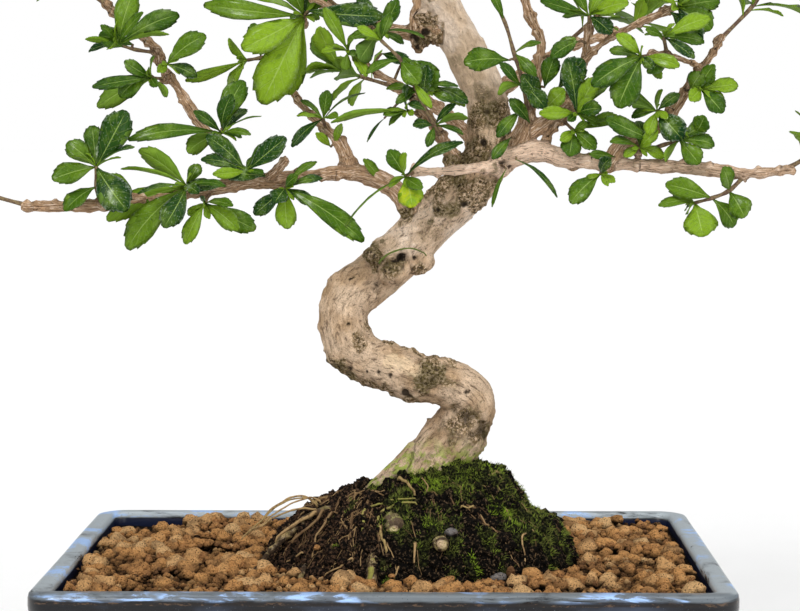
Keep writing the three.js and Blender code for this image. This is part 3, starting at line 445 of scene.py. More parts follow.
class Wire:
    """A socket whose sums and products add their own Math nodes."""

    def __init__(self, tree: NodeTree, socket: NodeSocket) -> None:
        """Keeps the tree and the socket."""
        self.tree = tree
        self.socket = socket

    def math(self, operation: str, *others: Any) -> "Wire":
        """Works out an operation on this value and others."""
        return self._sum(operation, self, *others)

    def _sum(self, operation: str, *terms: Any) -> "Wire":
        """Adds the Math node for terms in their order."""
        node = add_node(self.tree, "ShaderNodeMath", {"operation": operation}, dict(enumerate(terms)))
        return Wire(self.tree, node.outputs[0])

    def __add__(self, other: Any) -> "Wire":
        """This value plus another."""
        return self._sum("ADD", self, other)

    __radd__ = __add__

    def __sub__(self, other: Any) -> "Wire":
        """This value less another."""
        return self._sum("SUBTRACT", self, other)

    def __rsub__(self, other: Any) -> "Wire":
        """Another value less this one."""
        return self._sum("SUBTRACT", other, self)

    def __mul__(self, other: Any) -> "Wire":
        """This value times another."""
        return self._sum("MULTIPLY", self, other)

    __rmul__ = __mul__

    def above(self, low: float, high: float) -> "Wire":
        """A smooth mask: 0 below low and 1 above high, or the other way round if low is higher.

        Args:
            low: The value where the mask is 0.
            high: The value where it is 1.

        Returns:
            The mask.
        """
        node = add_node(self.tree, "ShaderNodeMapRange", {"interpolation_type": "SMOOTHSTEP"},
                        {"Value": self, "From Min": low, "From Max": high})
        return Wire(self.tree, node.outputs[0])


class Paint:
    """A material in the making, with short ways to its usual nodes."""

    def __init__(self, name: str, settings: dict[str, Any]) -> None:
        """Starts the material and sets what is the same all over it.

        Args:
            name: The material's name.
            settings: Values for the shader's own sockets.
        """
        self.material = bpy.data.materials.new(name)
        self.material.use_nodes = True
        self.tree = self.material.node_tree
        self.tree.nodes.clear()
        self.shader = self.node("ShaderNodeBsdfPrincipled", {}, settings)
        self.node("ShaderNodeOutputMaterial", {}, {"Surface": self.shader.outputs[0]})

    def node(self, kind: str, settings: dict[str, Any], sockets: dict[Any, Any]) -> Node:
        """Adds one node with its options and sockets."""
        return add_node(self.tree, kind, settings, sockets)

    def wire(self, node: Node, output: Any = 0) -> Wire:
        """Wraps a node's output."""
        return Wire(self.tree, node.outputs[output])

    def place(self, scale: Scale = 1) -> Wire:
        """Object coordinates in millimetres, stretched by one factor or by one along each axis."""
        where = self.node("ShaderNodeTexCoord", {}, {})
        return self._stretched(where.outputs["Object"], np.full(3, scale) / MM)

    def value(self, name: str, scale: Point | None = None) -> Wire:
        """A vector attribute of the mesh, stretched where a scale is given, or a plain number."""
        node = self.node("ShaderNodeAttribute", {"attribute_name": name}, {})
        return self.wire(node, "Fac") if scale is None else self._stretched(node.outputs["Vector"], scale)

    def _stretched(self, vector: NodeSocket, factors: Sequence[float]) -> Wire:
        """A vector times a factor along each axis."""
        sockets = {0: vector, 1: tuple(factors)}
        return self.wire(self.node("ShaderNodeVectorMath", {"operation": "MULTIPLY"}, sockets))

    def parts(self, vector: Wire) -> tuple[Wire, Wire, Wire]:
        """A vector's x, y and z."""
        node = self.node("ShaderNodeSeparateXYZ", {}, {0: vector})
        return self.wire(node, 0), self.wire(node, 1), self.wire(node, 2)

    def noise(self, where: Wire | Scale, detail: float, roughness: float, distortion: float = 0) -> Wire:
        """Soft noise from 0 to 1 over a wire, or over the place at a scale.

        Args:
            where: The wire or the scale.
            detail: How many finer layers it has.
            roughness: How strong the finer layers are.
            distortion: How far it is twisted.

        Returns:
            The noise.
        """
        sockets = {"Vector": where if isinstance(where, Wire) else self.place(where), "Scale": 1,
                   "Detail": detail, "Roughness": roughness, "Distortion": distortion}
        return self.wire(self.node("ShaderNodeTexNoise", {}, sockets))

    def cells(self, scale: float) -> Wire:
        """Distances from the middles of random cells at a scale."""
        node = self.node("ShaderNodeTexVoronoi", {}, {"Vector": self.place(scale), "Scale": 1})
        return self.wire(node, "Distance")

    def ramp(self, factor: Wire, stops: Sequence[tuple[float, Colour]]) -> Wire:
        """Colours along a value.

        Args:
            factor: The value from 0 to 1.
            stops: Places and their colours.

        Returns:
            The colour.
        """
        node = self.node("ShaderNodeValToRGB", {}, {0: factor})
        elements = node.color_ramp.elements
        while len(elements) < len(stops):
            elements.new(0.5)
        for element, (where, colour) in zip(elements, stops):
            element.position = where
            element.color = colour
        return self.wire(node)

    def mix(self, factor: Any, first: Any, second: Any) -> Wire:
        """Mixes two colours: the first where the factor is 0, the second where it is 1."""
        node = self.node("ShaderNodeMix", {"data_type": "RGBA"}, {0: factor, 6: first, 7: second})
        return self.wire(node, 2)

    def layers(self, colour: Any, *coats: tuple[Any, Any]) -> Wire:
        """Lays colours over the first one in their order.

        Args:
            colour: The colour below.
            coats: For each coat its mask, 1 where it covers all below it, and its colour.

        Returns:
            The colour with all its coats.
        """
        for mask, coat in coats:
            colour = self.mix(mask, colour, coat)
        return colour

    def finish(self, colour: Wire, roughness: Any, height: Wire | None, depth: float) -> Material:
        """Links what varies over the surface.

        Args:
            colour: The base colour.
            roughness: A wire or a number.
            height: The relief from 0 to 1.
            depth: How deep the relief is.

        Returns:
            The material.
        """
        links = {"Base Color": colour, "Roughness": roughness}
        if height is not None:
            relief = {"Strength": 1.0, "Distance": depth * MM, "Height": height}
            links["Normal"] = self.wire(self.node("ShaderNodeBump", {}, relief))
        connect(self.shader, links)
        return self.material


Stem = list[Point]


class Growth(Enum):
    """What a limb is, as two values that the bark reads: how brown it is, and how pink."""

    TRUNK = (0.0, 0.0)
    ROOT = (0.6, 0.0)
    BRANCH = (1.0, 0.0)
    PINK = (1.0, 1.0)


# Short names for the table below
TRUNK, ROOT, BRANCH, PINK = Growth


# Each limb is a line of points, x, y, z and the radius there.
LIMBS: list[tuple[Growth, list[tuple[float, float, float, float]]]] = [
    (TRUNK, [(10, 0, 58, 9), (12, 0, 84, 14), (14, 0, 100, 15.5), (20.9, 0, 116.5, 14.4),
        (30.9, -3.5, 132, 11.8), (35.3, -6.5, 144, 11), (30.2, -7.5, 149.5, 10.2), (21.9, -8, 153, 10.2),
        (11.8, -8, 154.8, 10), (3.7, -7, 157.8, 10.2), (-6.5, -4, 160.6, 10), (-14.6, -1.5, 166, 10.6),
        (-18, 0, 174, 10.8), (-18.2, 1.5, 183.4, 10.9), (-13.6, 3, 190.3, 11), (-5.8, 5, 196.5, 10.9),
        (2.8, 6, 203.7, 10.8), (10.9, 5.5, 211.9, 10.5), (20, 4.5, 222, 10.3), (31, 2, 232, 10.6),
        (42, 0, 247, 10.2), (43, 2, 268, 8.7), (35, 5, 289, 8.7), (22, 8, 314, 8.4), (12, 9, 338, 7.4),
        (10, 8, 362, 6.4), (21, 4, 388, 5.2), (29, 0, 412, 4), (27, -2, 436, 3), (24, -3, 454, 2)]),
    # The long branch to the left, and what grows on it
    (BRANCH, [(10, 2, 226, 5.4), (2, 0, 235, 4.2), (-12, -4, 241, 3.2), (-32, -10, 240, 2.5),
        (-49, -14, 238, 3), (-61, -18, 237, 3), (-82, -22, 233, 2.8), (-104, -26, 231, 2.7),
        (-121, -28, 228, 2.5), (-149, -36, 228, 1.9)]),
    (BRANCH, [(-15, -4, 241, 3.6), (-19, -1, 252, 3.2), (-25, 3, 259, 2.1), (-35, 8, 268, 1.8),
        (-43, 13, 280, 1.8), (-45, 12, 293, 1.7), (-36, 8, 306, 1.6), (-33, 6, 322, 1.4)]),
    (BRANCH, [(-52, -15, 238, 2.2), (-46, -19, 242, 2), (-41, -22, 247, 1.7)]),
    (BRANCH, [(-59, -16, 236, 2.8), (-67, -12, 249, 2.4), (-74, -8, 256, 2.4), (-81, -4, 265, 2.3),
        (-88, 0, 276, 2.1), (-95, 2, 285, 2), (-98, 2, 293, 2.2), (-108, 0, 302, 1.8), (-120, -4, 313, 1.5)]),
    # Two branches up to the left of the trunk
    (BRANCH, [(32, -5, 242, 3.4), (21, -12, 259, 2.1), (16, -13, 267, 2), (6, -12, 277, 1.7),
        (-4, -10, 283, 1.6), (-14, -8, 291, 1.8)]),
    (BRANCH, [(27, 4, 298, 3), (15, -1, 301, 3), (4, -6, 300, 2.4), (-7, -7, 302, 2.3), (-22, -6, 309, 1.8),
        (-37, -8, 319, 1.5)]),
    (BRANCH, [(13, 1, 292, 1.8), (11, -8, 304, 1.4), (14, -9, 317, 1.2)]),
    # The short pink stub across the front of the trunk
    (PINK, [(50, -8, 245, 3.4), (36, -16, 243, 2), (22, -18, 242, 1.5), (11, -19, 242, 1.9)]),
    # The long branch to the right, its fork, the cut stub and the link between them
    (PINK, [(42, -1, 243, 7), (53, -9, 248, 5), (64, -11, 250, 4.2), (76, -13, 247, 3.6), (96, -15, 245, 3.1),
        (116, -17, 244, 2.6), (132, -19, 243, 2.6), (149, -22, 241, 2.2), (168, -27, 243, 1.8)]),
    (BRANCH, [(51, -8, 247, 4.6), (57, -8, 257, 3.9), (60, -6, 267, 3.2), (63, -3, 280, 2.2), (65, 0, 296, 2),
        (60, 3, 308, 2.1), (57, 5, 322, 1.7)]),
    (BRANCH, [(56, -8, 255, 3.4), (66, -9, 262, 3), (77, -9, 270, 2.6)]),
    (BRANCH, [(64, -10, 250, 2), (68, -10, 257, 1.5), (72, -9, 265, 1.8)]),
    (BRANCH, [(73, -8, 267, 2), (79, -5, 279, 1.5), (83, -2, 288, 1.9), (90, -3, 295, 1.5),
        (102, -6, 302, 1.5), (120, -10, 310, 1.4)]),
    (BRANCH, [(83, -2, 287, 1.8), (84, -2, 295, 1.3), (85, -2, 304, 1.4)]),
    (BRANCH, [(93, -15, 245, 4.2), (99, -13, 253, 3.4), (108, -12, 257, 2.4), (116, -12, 262, 2.3),
        (121, -12, 269, 2.2), (126, -14, 277, 2.2), (132, -16, 286, 1.4), (140, -16, 298, 1.3)]),
    (BRANCH, [(132, -16, 285, 1.4), (126, -18, 287, 1.3), (116, -22, 290, 1.4), (109, -23, 290, 1.8)]),
    (BRANCH, [(77, -12, 246, 2.4), (78.5, -13, 242.8, 1.7)]),
    # Branches above the photo's upper edge, then those at the back
    (BRANCH, [(14, 8, 342, 4.4), (-12, 0, 352, 3.2), (-42, -8, 362, 2.6), (-76, -14, 370, 2),
        (-104, -18, 374, 1.6)]),
    (BRANCH, [(14, 7, 374, 4), (46, -4, 384, 3), (80, -12, 394, 2.4), (118, -16, 402, 1.6)]),
    (BRANCH, [(13, 6, 350, 4), (10, -24, 362, 2.8), (4, -58, 374, 2.2), (-4, -92, 380, 1.6)]),
    (BRANCH, [(11, 10, 348, 4), (8, 42, 352, 2.8), (-2, 74, 362, 2.2), (-2, 105, 368, 1.6)]),
    (BRANCH, [(40, 6, 250, 4.4), (34, 34, 258, 3), (18, 70, 272, 2.4), (0, 104, 280, 1.7)]),
    (BRANCH, [(42, 5, 272, 4), (62, 34, 286, 2.8), (84, 64, 298, 2.2), (104, 88, 304, 1.6)]),
    (BRANCH, [(30, 10, 298, 4), (-2, 34, 304, 2.8), (-38, 58, 318, 2.2), (-72, 78, 324, 1.6)]),
    (BRANCH, [(23, 4, 390, 3), (-2, 10, 404, 2.2), (-34, 16, 416, 1.6), (-52, 16, 424, 1.4)]),
    (BRANCH, [(29, 0, 410, 2.8), (50, 6, 424, 2), (76, 12, 434, 1.5), (88, 14, 438, 1.3)]),
    (BRANCH, [(27, -2, 432, 2.4), (24, -28, 440, 1.8), (21, -52, 446, 1.4)]),
    (BRANCH, [(28, 0, 422, 2.6), (32, 30, 434, 1.8), (30, 58, 442, 1.4)]),
    # The foot of the trunk that runs out to the left
    (TRUNK, [(14, -1, 119, 9), (6, -4, 114, 5.8), (-1, -6, 110, 4), (-7, -9, 106.4, 2.8),
        (-14, -11, 100, 2)]),
    # Roots: two on the left, a thick cut one at the front, two cut ones below it, right, back
    (ROOT, [(15, 0, 100, 12), (0, -6, 99, 6.4), (-14, -13, 99, 3.2), (-31, -20, 97, 2.4), (-46, -28, 86, 1.3),
        (-57, -37, 73, 0.9)]),
    (ROOT, [(-14, -12, 98, 3), (-22, -28, 94, 1.8), (-31, -40, 84, 1.3), (-36, -52, 73, 1)]),
    (ROOT, [(12, -6, 98, 9), (3, -26, 100, 5.8), (3, -42, 98, 5), (4, -50, 97, 4.4)]),
    (ROOT, [(2, -34, 93, 4), (-4, -54, 89, 2.3), (-5, -61, 79, 2.1), (-5, -60, 70, 2)]),
    (ROOT, [(14, -16, 90, 5), (21, -42, 91, 3.4), (23, -63, 93, 3)]),
    (ROOT, [(18, 4, 98, 10), (44, 10, 98, 5), (66, 13, 87, 3), (80, 15, 74, 2)]),
    (ROOT, [(14, 6, 96, 10), (12, 28, 98, 5), (8, 42, 88, 3.4), (6, 50, 72, 2.4)]),
]

# Knots and healed cuts: centre, and size along x, y and z
KNOTS: list[tuple[Point, Point]] = [
    ((1, -2.5, 199), (6, 4.6, 5.4)), ((16.4, 0, 203.4), (4.2, 5, 4.0)), ((12.6, 0, 200.6), (3.6, 4.6, 3.0)),
    ((17.5, -14.5, 157), (6, 4.6, 5.2)), ((15, 4, 302), (5.4, 6, 8.2)), ((47, -7, 244), (6.4, 5.4, 5.6)),
    ((9, 0, 229), (6, 5, 5)), ((-16, -4, 244), (4.2, 4, 4.6)), ((27, -8, 246), (3, 3, 4)),
    ((3, -6.5, 200), (6.2, 3.8, 5)), ((-6, -5, 206), (4, 3, 3)), ((19, -15, 158.5), (7, 4, 5.6)),
]

# Marks in the bark: place, reach, how far it stands out (or in, below 0) and how dark it is. The darkness is
# partly the marks' own colour and partly painted shade in hollows and creases, most in the trunk's bends.
MARKS: list[tuple[Point, float, float, float]] = [
    ((3.6, -8, 205.2), 2.8, -2.6, 1.2), ((6.6, -6, 205.2), 2.4, -2.4, 1.1), ((7, -4, 201), 1.4, -1.4, 1),
    ((12, -4, 205), 1.7, 0.9, 0.5), ((-4, 0, 211), 2.6, 1.6, 0.5), ((-23, -1, 196), 2, 1.6, 0.5),
    ((-26, 1, 192.5), 2.2, 1.3, 0.4), ((-15, -6, 197), 1.3, -0.9, 0.8), ((8, -14, 147), 1.8, 1.2, 0.7),
    ((34, -17, 149), 1.3, -0.7, 0.8), ((41, -3, 126), 1.5, 2.2, 0.6), ((34, -16, 138.5), 5, -1.4, 0.7),
    ((40, -13, 133), 5, -1.2, 0.7), ((29, -15, 140), 3.4, -1, 0.6), ((42, -10, 128), 3.4, -0.8, 0.7),
    ((19.5, -18, 155), 1.6, -1.3, 0.6), ((29, -2, 302), 1.2, 0.9, 0.2), ((34, 2, 309), 1.7, 0.9, 0.3),
    ((43, 4, 296), 1.6, 0.9, 0.3), ((31, 10, 236), 3.2, -1.2, 0.8), ((46, 6, 140), 2.6, 0.9, 0.4),
    ((33, 14, 294), 3.0, -1.3, 0.8), ((10, 17, 330), 2.6, 1.0, 0.4), ((16, -3, 352), 2.4, -0.9, 0.6),
    ((26, 13, 214), 2.5, 1.0, 0.4), ((48, -14, 246), 1.6, -1.3, 1), ((52, -15, 243), 1.3, -1.2, 1),
    ((36, -9, 252), 1.6, -1.0, 0.9), ((38, -8, 256), 1.5, -1.0, 0.8), ((42, -9, 267), 1.8, -0.8, 0.7),
    ((16, -7, 300), 2.4, -1.5, 1.3), ((12.7, -7, 306.6), 2.8, -1.6, 1.4), ((11, -7, 298), 2.2, -1.2, 1.2),
    ((19, -5, 295), 1.8, -1.2, 1.1), ((14, -6, 293.5), 1.7, -1, 1.1), ((40, -12, 254.6), 1.7, -1.1, 1.2),
    ((44, -12, 251), 1.2, -0.8, 1), ((35, -9, 270), 1.1, 0.6, 0.6), ((33, -14, 227), 1.8, -0.9, 1),
    ((30, -6, 300), 1.1, 0.6, 0.6), ((36, -4, 295), 0.9, 0.5, 0.5), ((21, -12, 226), 1.6, -0.9, 1),
    ((6.4, -8, 205.3), 2.6, -2, 1.6), ((0.5, -9, 202.8), 2.2, -0.8, 0.6), ((6.4, -9, 201.1), 2, -0.9, 0.7),
    ((-4, -10, 193.1), 3.6, -0.8, 0.75), ((11.5, -6.5, 205.2), 1.6, -0.9, 1.1),
    ((13, -4.5, 200), 1.6, -0.8, 0.6), ((16.5, -4.5, 198.7), 1.8, 0.6, 1), ((-23.4, -4, 194.9), 2, 1.8, 0.7),
    ((-27.4, 0, 190.3), 1.8, 1.4, 0.6), ((-27.8, 0, 185.6), 1.4, 1.1, 0.6), ((-29, 0, 175.4), 2, 1.8, 0.7),
    ((-16.8, -12, 177.6), 1.7, 0.7, 1), ((-15.5, -9.5, 196.5), 2, 0.9, 1.1),
    ((-15.9, -11.5, 158.5), 1.3, -0.8, 1.2), ((8.2, -13, 149), 1.8, -1.2, 1.3),
    ((33.8, -17, 149.8), 1.3, -0.8, 1.2), ((-8.7, -12.5, 157.3), 1.2, -0.6, 1.1),
    ((-3.6, -13.5, 157.4), 1.4, -0.6, 1), ((1.4, -13.5, 156.6), 1.6, -0.8, 1),
]

# Round burls with rings: place, reach and how far they stand out
BURLS: list[tuple[Point, float, float]] = [
    ((1.5, -10.5, 197.6), 6.4, 1.1), ((17.5, -19, 157.5), 5.6, 0.5), ((14, 0, 302), 6.5, 0.3),
    ((22, -7, 225), 2.4, 0.6), ((30, -8, 226.5), 2.8, 0.7), ((14, -5, 224), 2.4, 0.6),
    ((38, -5, 226), 3.8, 1), ((11.5, -6.5, 205.2), 2.6, 0.5), ((14.5, -5, 199.4), 3, 0.6),
    ((-11.3, -11.5, 169.5), 3.6, 0.4), ((-10, 14, 192), 4.4, 0.6), ((24, 13, 236), 4, 0.6),
]

# Rough crusty stretches, dark with green in them: place, reach and how rough they are
CRUSTS: list[tuple[Point, float, float]] = [
    ((-6.5, 0, 208), 5, 1), ((-11.5, -11, 169), 3, 0.6), ((1, -6, 168.5), 4, 1), ((7, -5, 168), 4, 1),
    ((13, -6, 166), 4, 1), ((22, -8, 162.5), 4, 1), ((28, -8, 160.5), 4, 1), ((17.5, -17, 160), 5.6, 0.8),
    ((-8, -3, 176), 3.6, 1), ((-21, -5, 158), 4.6, 1), ((-12, -7, 152.5), 4.6, 1),
    ((-2, -9, 148.5), 4.4, 0.9), ((10, -11, 146), 4, 0.8), ((33, -14, 138), 8, 0.9), ((40, -11, 132), 7, 0.9),
    ((43, -8, 125), 5, 0.8), ((-5, -7, 206), 5.6, 1.1), ((19, -18, 158), 8, 1.1), ((3, -9, 203), 6, 0.7),
    ((-2, -8, 192), 4.6, 0.7), ((-9, -9, 163), 4, 0.7), ((20, -17, 118), 6, 0.6), ((8, -13, 112), 7, 0.5),
    ((34, -6, 248), 8, 0.8), ((40, -7, 275), 8, 0.6), ((29, -3, 288), 5, 0.5), ((48, -3, 270), 6, 0.6),
    ((16, 6, 302), 8.4, 1.1), ((17, 0, 296), 6, 1), ((24, -3, 236), 6.5, 1), ((31, -5, 230), 6, 0.8),
    ((37, -4, 227), 5.5, 1), ((18, 2, 233), 5, 1), ((38, -6, 264), 9, 0.9), ((46, -5, 264), 9, 0.9),
    ((39, -7, 252), 8, 0.95), ((48, -6, 256), 7, 0.9), ((31, -8, 237), 6, 0.9), ((38, -9, 236), 6, 0.8),
    ((35, -9, 231), 6, 0.85), ((42, -7, 230), 5, 0.9), ((28, -7, 226), 5, 0.9), ((22, -6, 225), 4, 1),
    ((45, -6, 237), 4, 0.7), ((9, -2, 224), 4, 1), ((27, -9, 247), 4, 1.1), ((13, -4, 306), 6, 1.2),
    ((-21.6, -6, 161), 4.4, 1.1), ((-14.8, -7.5, 155), 4.4, 1.1), ((-7.2, -8.5, 151), 4.4, 1.1),
    ((-0.4, -9.5, 149), 4.4, 1), ((-11.3, -12, 169.5), 4.2, 1.1), ((1.8, -10, 200.5), 5, 0.9),
    ((14, -5, 199.5), 3.4, 0.9), ((1.3, -8, 168.5), 3, 1.2), ((7.3, -8, 168), 3, 1.2),
    ((12, -8, 165.5), 3, 1.2), ((30, 13, 236), 7, 1), ((-8, 15, 196), 5, 0.9), ((32, 6, 154), 6, 0.8),
    ((33, 13, 294), 6, 0.9), ((44, 8, 262), 7, 0.6), ((10, 9, 352), 6, 0.6), ((26, 4, 118), 13, 0.5),
    ((14, -14, 108), 9, 0.5),
]

# Cut or peeled places where the wood shows its pale tan inside: place and reach
CUTS: list[tuple[Point, float]] = [
    ((4.2, -54.5, 97.4), 4.2), ((23.2, -66, 93), 3.6), ((2.3, -16, 162), 4.6), ((8, -17, 161), 5),
    ((12.6, -17, 158.6), 3.4), ((-26, -3, 168), 2.4), ((-25, -4, 163), 2),
]


def swept(line: np.ndarray, radii: np.ndarray, sides: int) -> tuple[Shell, np.ndarray, np.ndarray]:
    """Sweeps a closed round tube along a line.

    Args:
        line: Rows of centres.
        radii: The radius at each.
        sides: How many points each ring has.

    Returns:
        The shell, and two directions across the tube at each centre.
    """
    headings = unit(np.gradient(line, axis=0))
    out = np.array([0.3, -1.0, 0.2])
    outs = []
    for heading in headings:
        out = unit(out - out @ heading * heading)
        outs.append(out)
    across = np.array(outs)
    beside = np.cross(headings, across)
    angles = np.arange(sides) / sides * math.tau
    along, aside = np.cos(angles)[None, :, None], np.sin(angles)[None, :, None]
    spokes = along * across[:, None] + aside * beside[:, None]
    rings = line[:, None] + spokes * radii[:, None, None]
    ends = [line[0] - headings[0] * radii[0] / 2, line[-1] + headings[-1] * radii[-1] / 2]
    return stacked(rings, ends), across, beside


def ball(centre: Point, size: Point, rings: int = 9, sides: int = 14) -> Shell:
    """A closed round lump with its own size along x, y and z.

    Args:
        centre: Its middle.
        size: Its radius along each axis.
        rings: How many rings of points it has.
        sides: How many points each ring has.

    Returns:
        The shell.
    """
    turns = (np.arange(rings) + 1) / (rings + 1) * math.pi
    line = np.stack([np.zeros(rings), np.zeros(rings), -np.cos(turns)], axis=1)
    angles = np.arange(sides) / sides * math.tau
    circle = np.stack([np.cos(angles), np.sin(angles), np.zeros(sides)], axis=1)
    return stacked(line[:, None] + circle * np.sin(turns)[:, None, None], [-UP, UP]).moved(size, centre)


@dataclass(frozen=True)
class BarkFinish:
    """Pale, finely cracked trunk bark that turns brown on young wood, with dark crusts and moss, and painted
    light on the upper trunk.
    """

    # light: pale streaks in the fibre of young wood, and the colour of the painted light on the upper trunk
    light: Colour = srgb(255, 232, 210)
    pale: Colour = srgb(228, 200, 170)
    warm: Colour = srgb(200, 168, 134)
    crack: Colour = srgb(66, 46, 30)
    young: Colour = srgb(186, 150, 116)
    young_dark: Colour = srgb(70, 50, 34)
    pink: Colour = srgb(250, 216, 188)
    crust: Colour = srgb(128, 106, 68)
    black: Colour = srgb(22, 17, 12)
    olive: Colour = srgb(84, 82, 42)
    cut: Colour = srgb(250, 222, 182)
    moss: Colour = srgb(164, 184, 72)
    soil: Colour = srgb(44, 34, 24)
    crack_depth: float = 0.9

    def material(self) -> Material:
        """Builds the bark from the wood's straightened grain and its marks.

        Returns:
            The material.
        """
        paint = Paint("bark", {"Specular IOR Level": 0.12})
        age, blush, mark_and_painted_shade = paint.value("age"), paint.value("blush"), paint.value("mark_and_painted_shade")
        crust, cut = paint.value("crust"), paint.value("cut")
        fissure = paint.noise(paint.value("grain", (0.5, 0.5, 0.24)), 6, 0.68, 0.7)
        thread = paint.noise(paint.value("grain", (1.5, 1.5, 0.66)), 4, 0.65, 0.4)
        fibre = paint.noise(paint.value("grain", (2.2, 2.2, 0.2)), 4, 0.6, 0.3)
        blotch, grit = paint.noise(0.075, 4, 0.6), paint.noise(0.8, 5, 0.7)
        speckle, patch = paint.noise(2.2, 3, 0.6), paint.noise(0.26, 6, 0.7)
        level = paint.parts(paint.place())[2]
        # Painted light: high up the trunk and in a band below the branches the bark is painted lighter, with
        # fainter dark cracks
        high = level.above(258, 290)
        plain = 1 - 0.75 * high
        painted_light_mask = high.math("MAXIMUM", level.above(203, 209) * level.above(234, 227))
        warm = paint.mix(painted_light_mask * 0.8, self.warm, self.pale)
        old = paint.layers(
            paint.mix(painted_light_mask, self.pale, self.light),
            (blotch.above(0.36, 0.64), warm),
            (grit.above(0.5, 0.72) * 0.5, warm),
            (speckle.above(0.48, 0.36) * 0.4 * plain, self.crack),
            (level.above(132, 118) * patch.above(0.46, 0.55) * 0.85, self.moss),
            # painted light: fissures fade high up the trunk
            (fissure.above(0.46, 0.36) * (1 - 0.7 * level.above(250, 285)) * 0.7, self.crack),
            (thread.above(0.43, 0.34) * grit.above(0.38, 0.6) * 0.9 * plain, self.crack),
            (blotch.above(0.56, 0.7) * grit.above(0.4, 0.56) * 0.5 * plain, self.crust))
        fresh = paint.layers(
            paint.mix(blush, self.young, self.pink),
            (fibre.above(0.48, 0.36) * 0.7, self.young_dark),
            (grit.above(0.43, 0.33) * 0.75, self.young_dark),
            (fibre.above(0.52, 0.64) * 0.7, self.light))
        rough = paint.layers(
            paint.mix(grit.above(0.48, 0.6), self.crust, self.pale),
            (blotch.above(0.48, 0.6) * 0.6, self.olive),
            ((grit * 0.6 + thread * 0.4).above(0.49, 0.42), self.black))
        spread = 0.2 + 1.6 * grit
        bared = cut.above(0.45, 0.75)
        colour = paint.layers(
            old,
            (age.above(0.25, 0.9), fresh),
            ((crust * spread).above(0.32, 0.66) * 0.92, rough),
            # dark marks: partly their own colour, partly painted shade in hollows and creases
            ((mark_and_painted_shade * spread).above(0.3, 0.8) * 0.92, self.black),
            (bared * (0.35 + 0.5 * grit) * thread.above(0.4, 0.5), self.cut),
            (level.above(116, 96) * patch.above(0.62, 0.46) * 0.92 * (1 - bared), self.soil))
        height = fissure.above(0.3, 0.6) * 0.6 + thread * 0.4 + grit * (0.2 + 0.6 * crust) + fibre * age * 0.4
        return paint.finish(colour, 0.8 + 0.18 * thread, height, self.crack_depth)


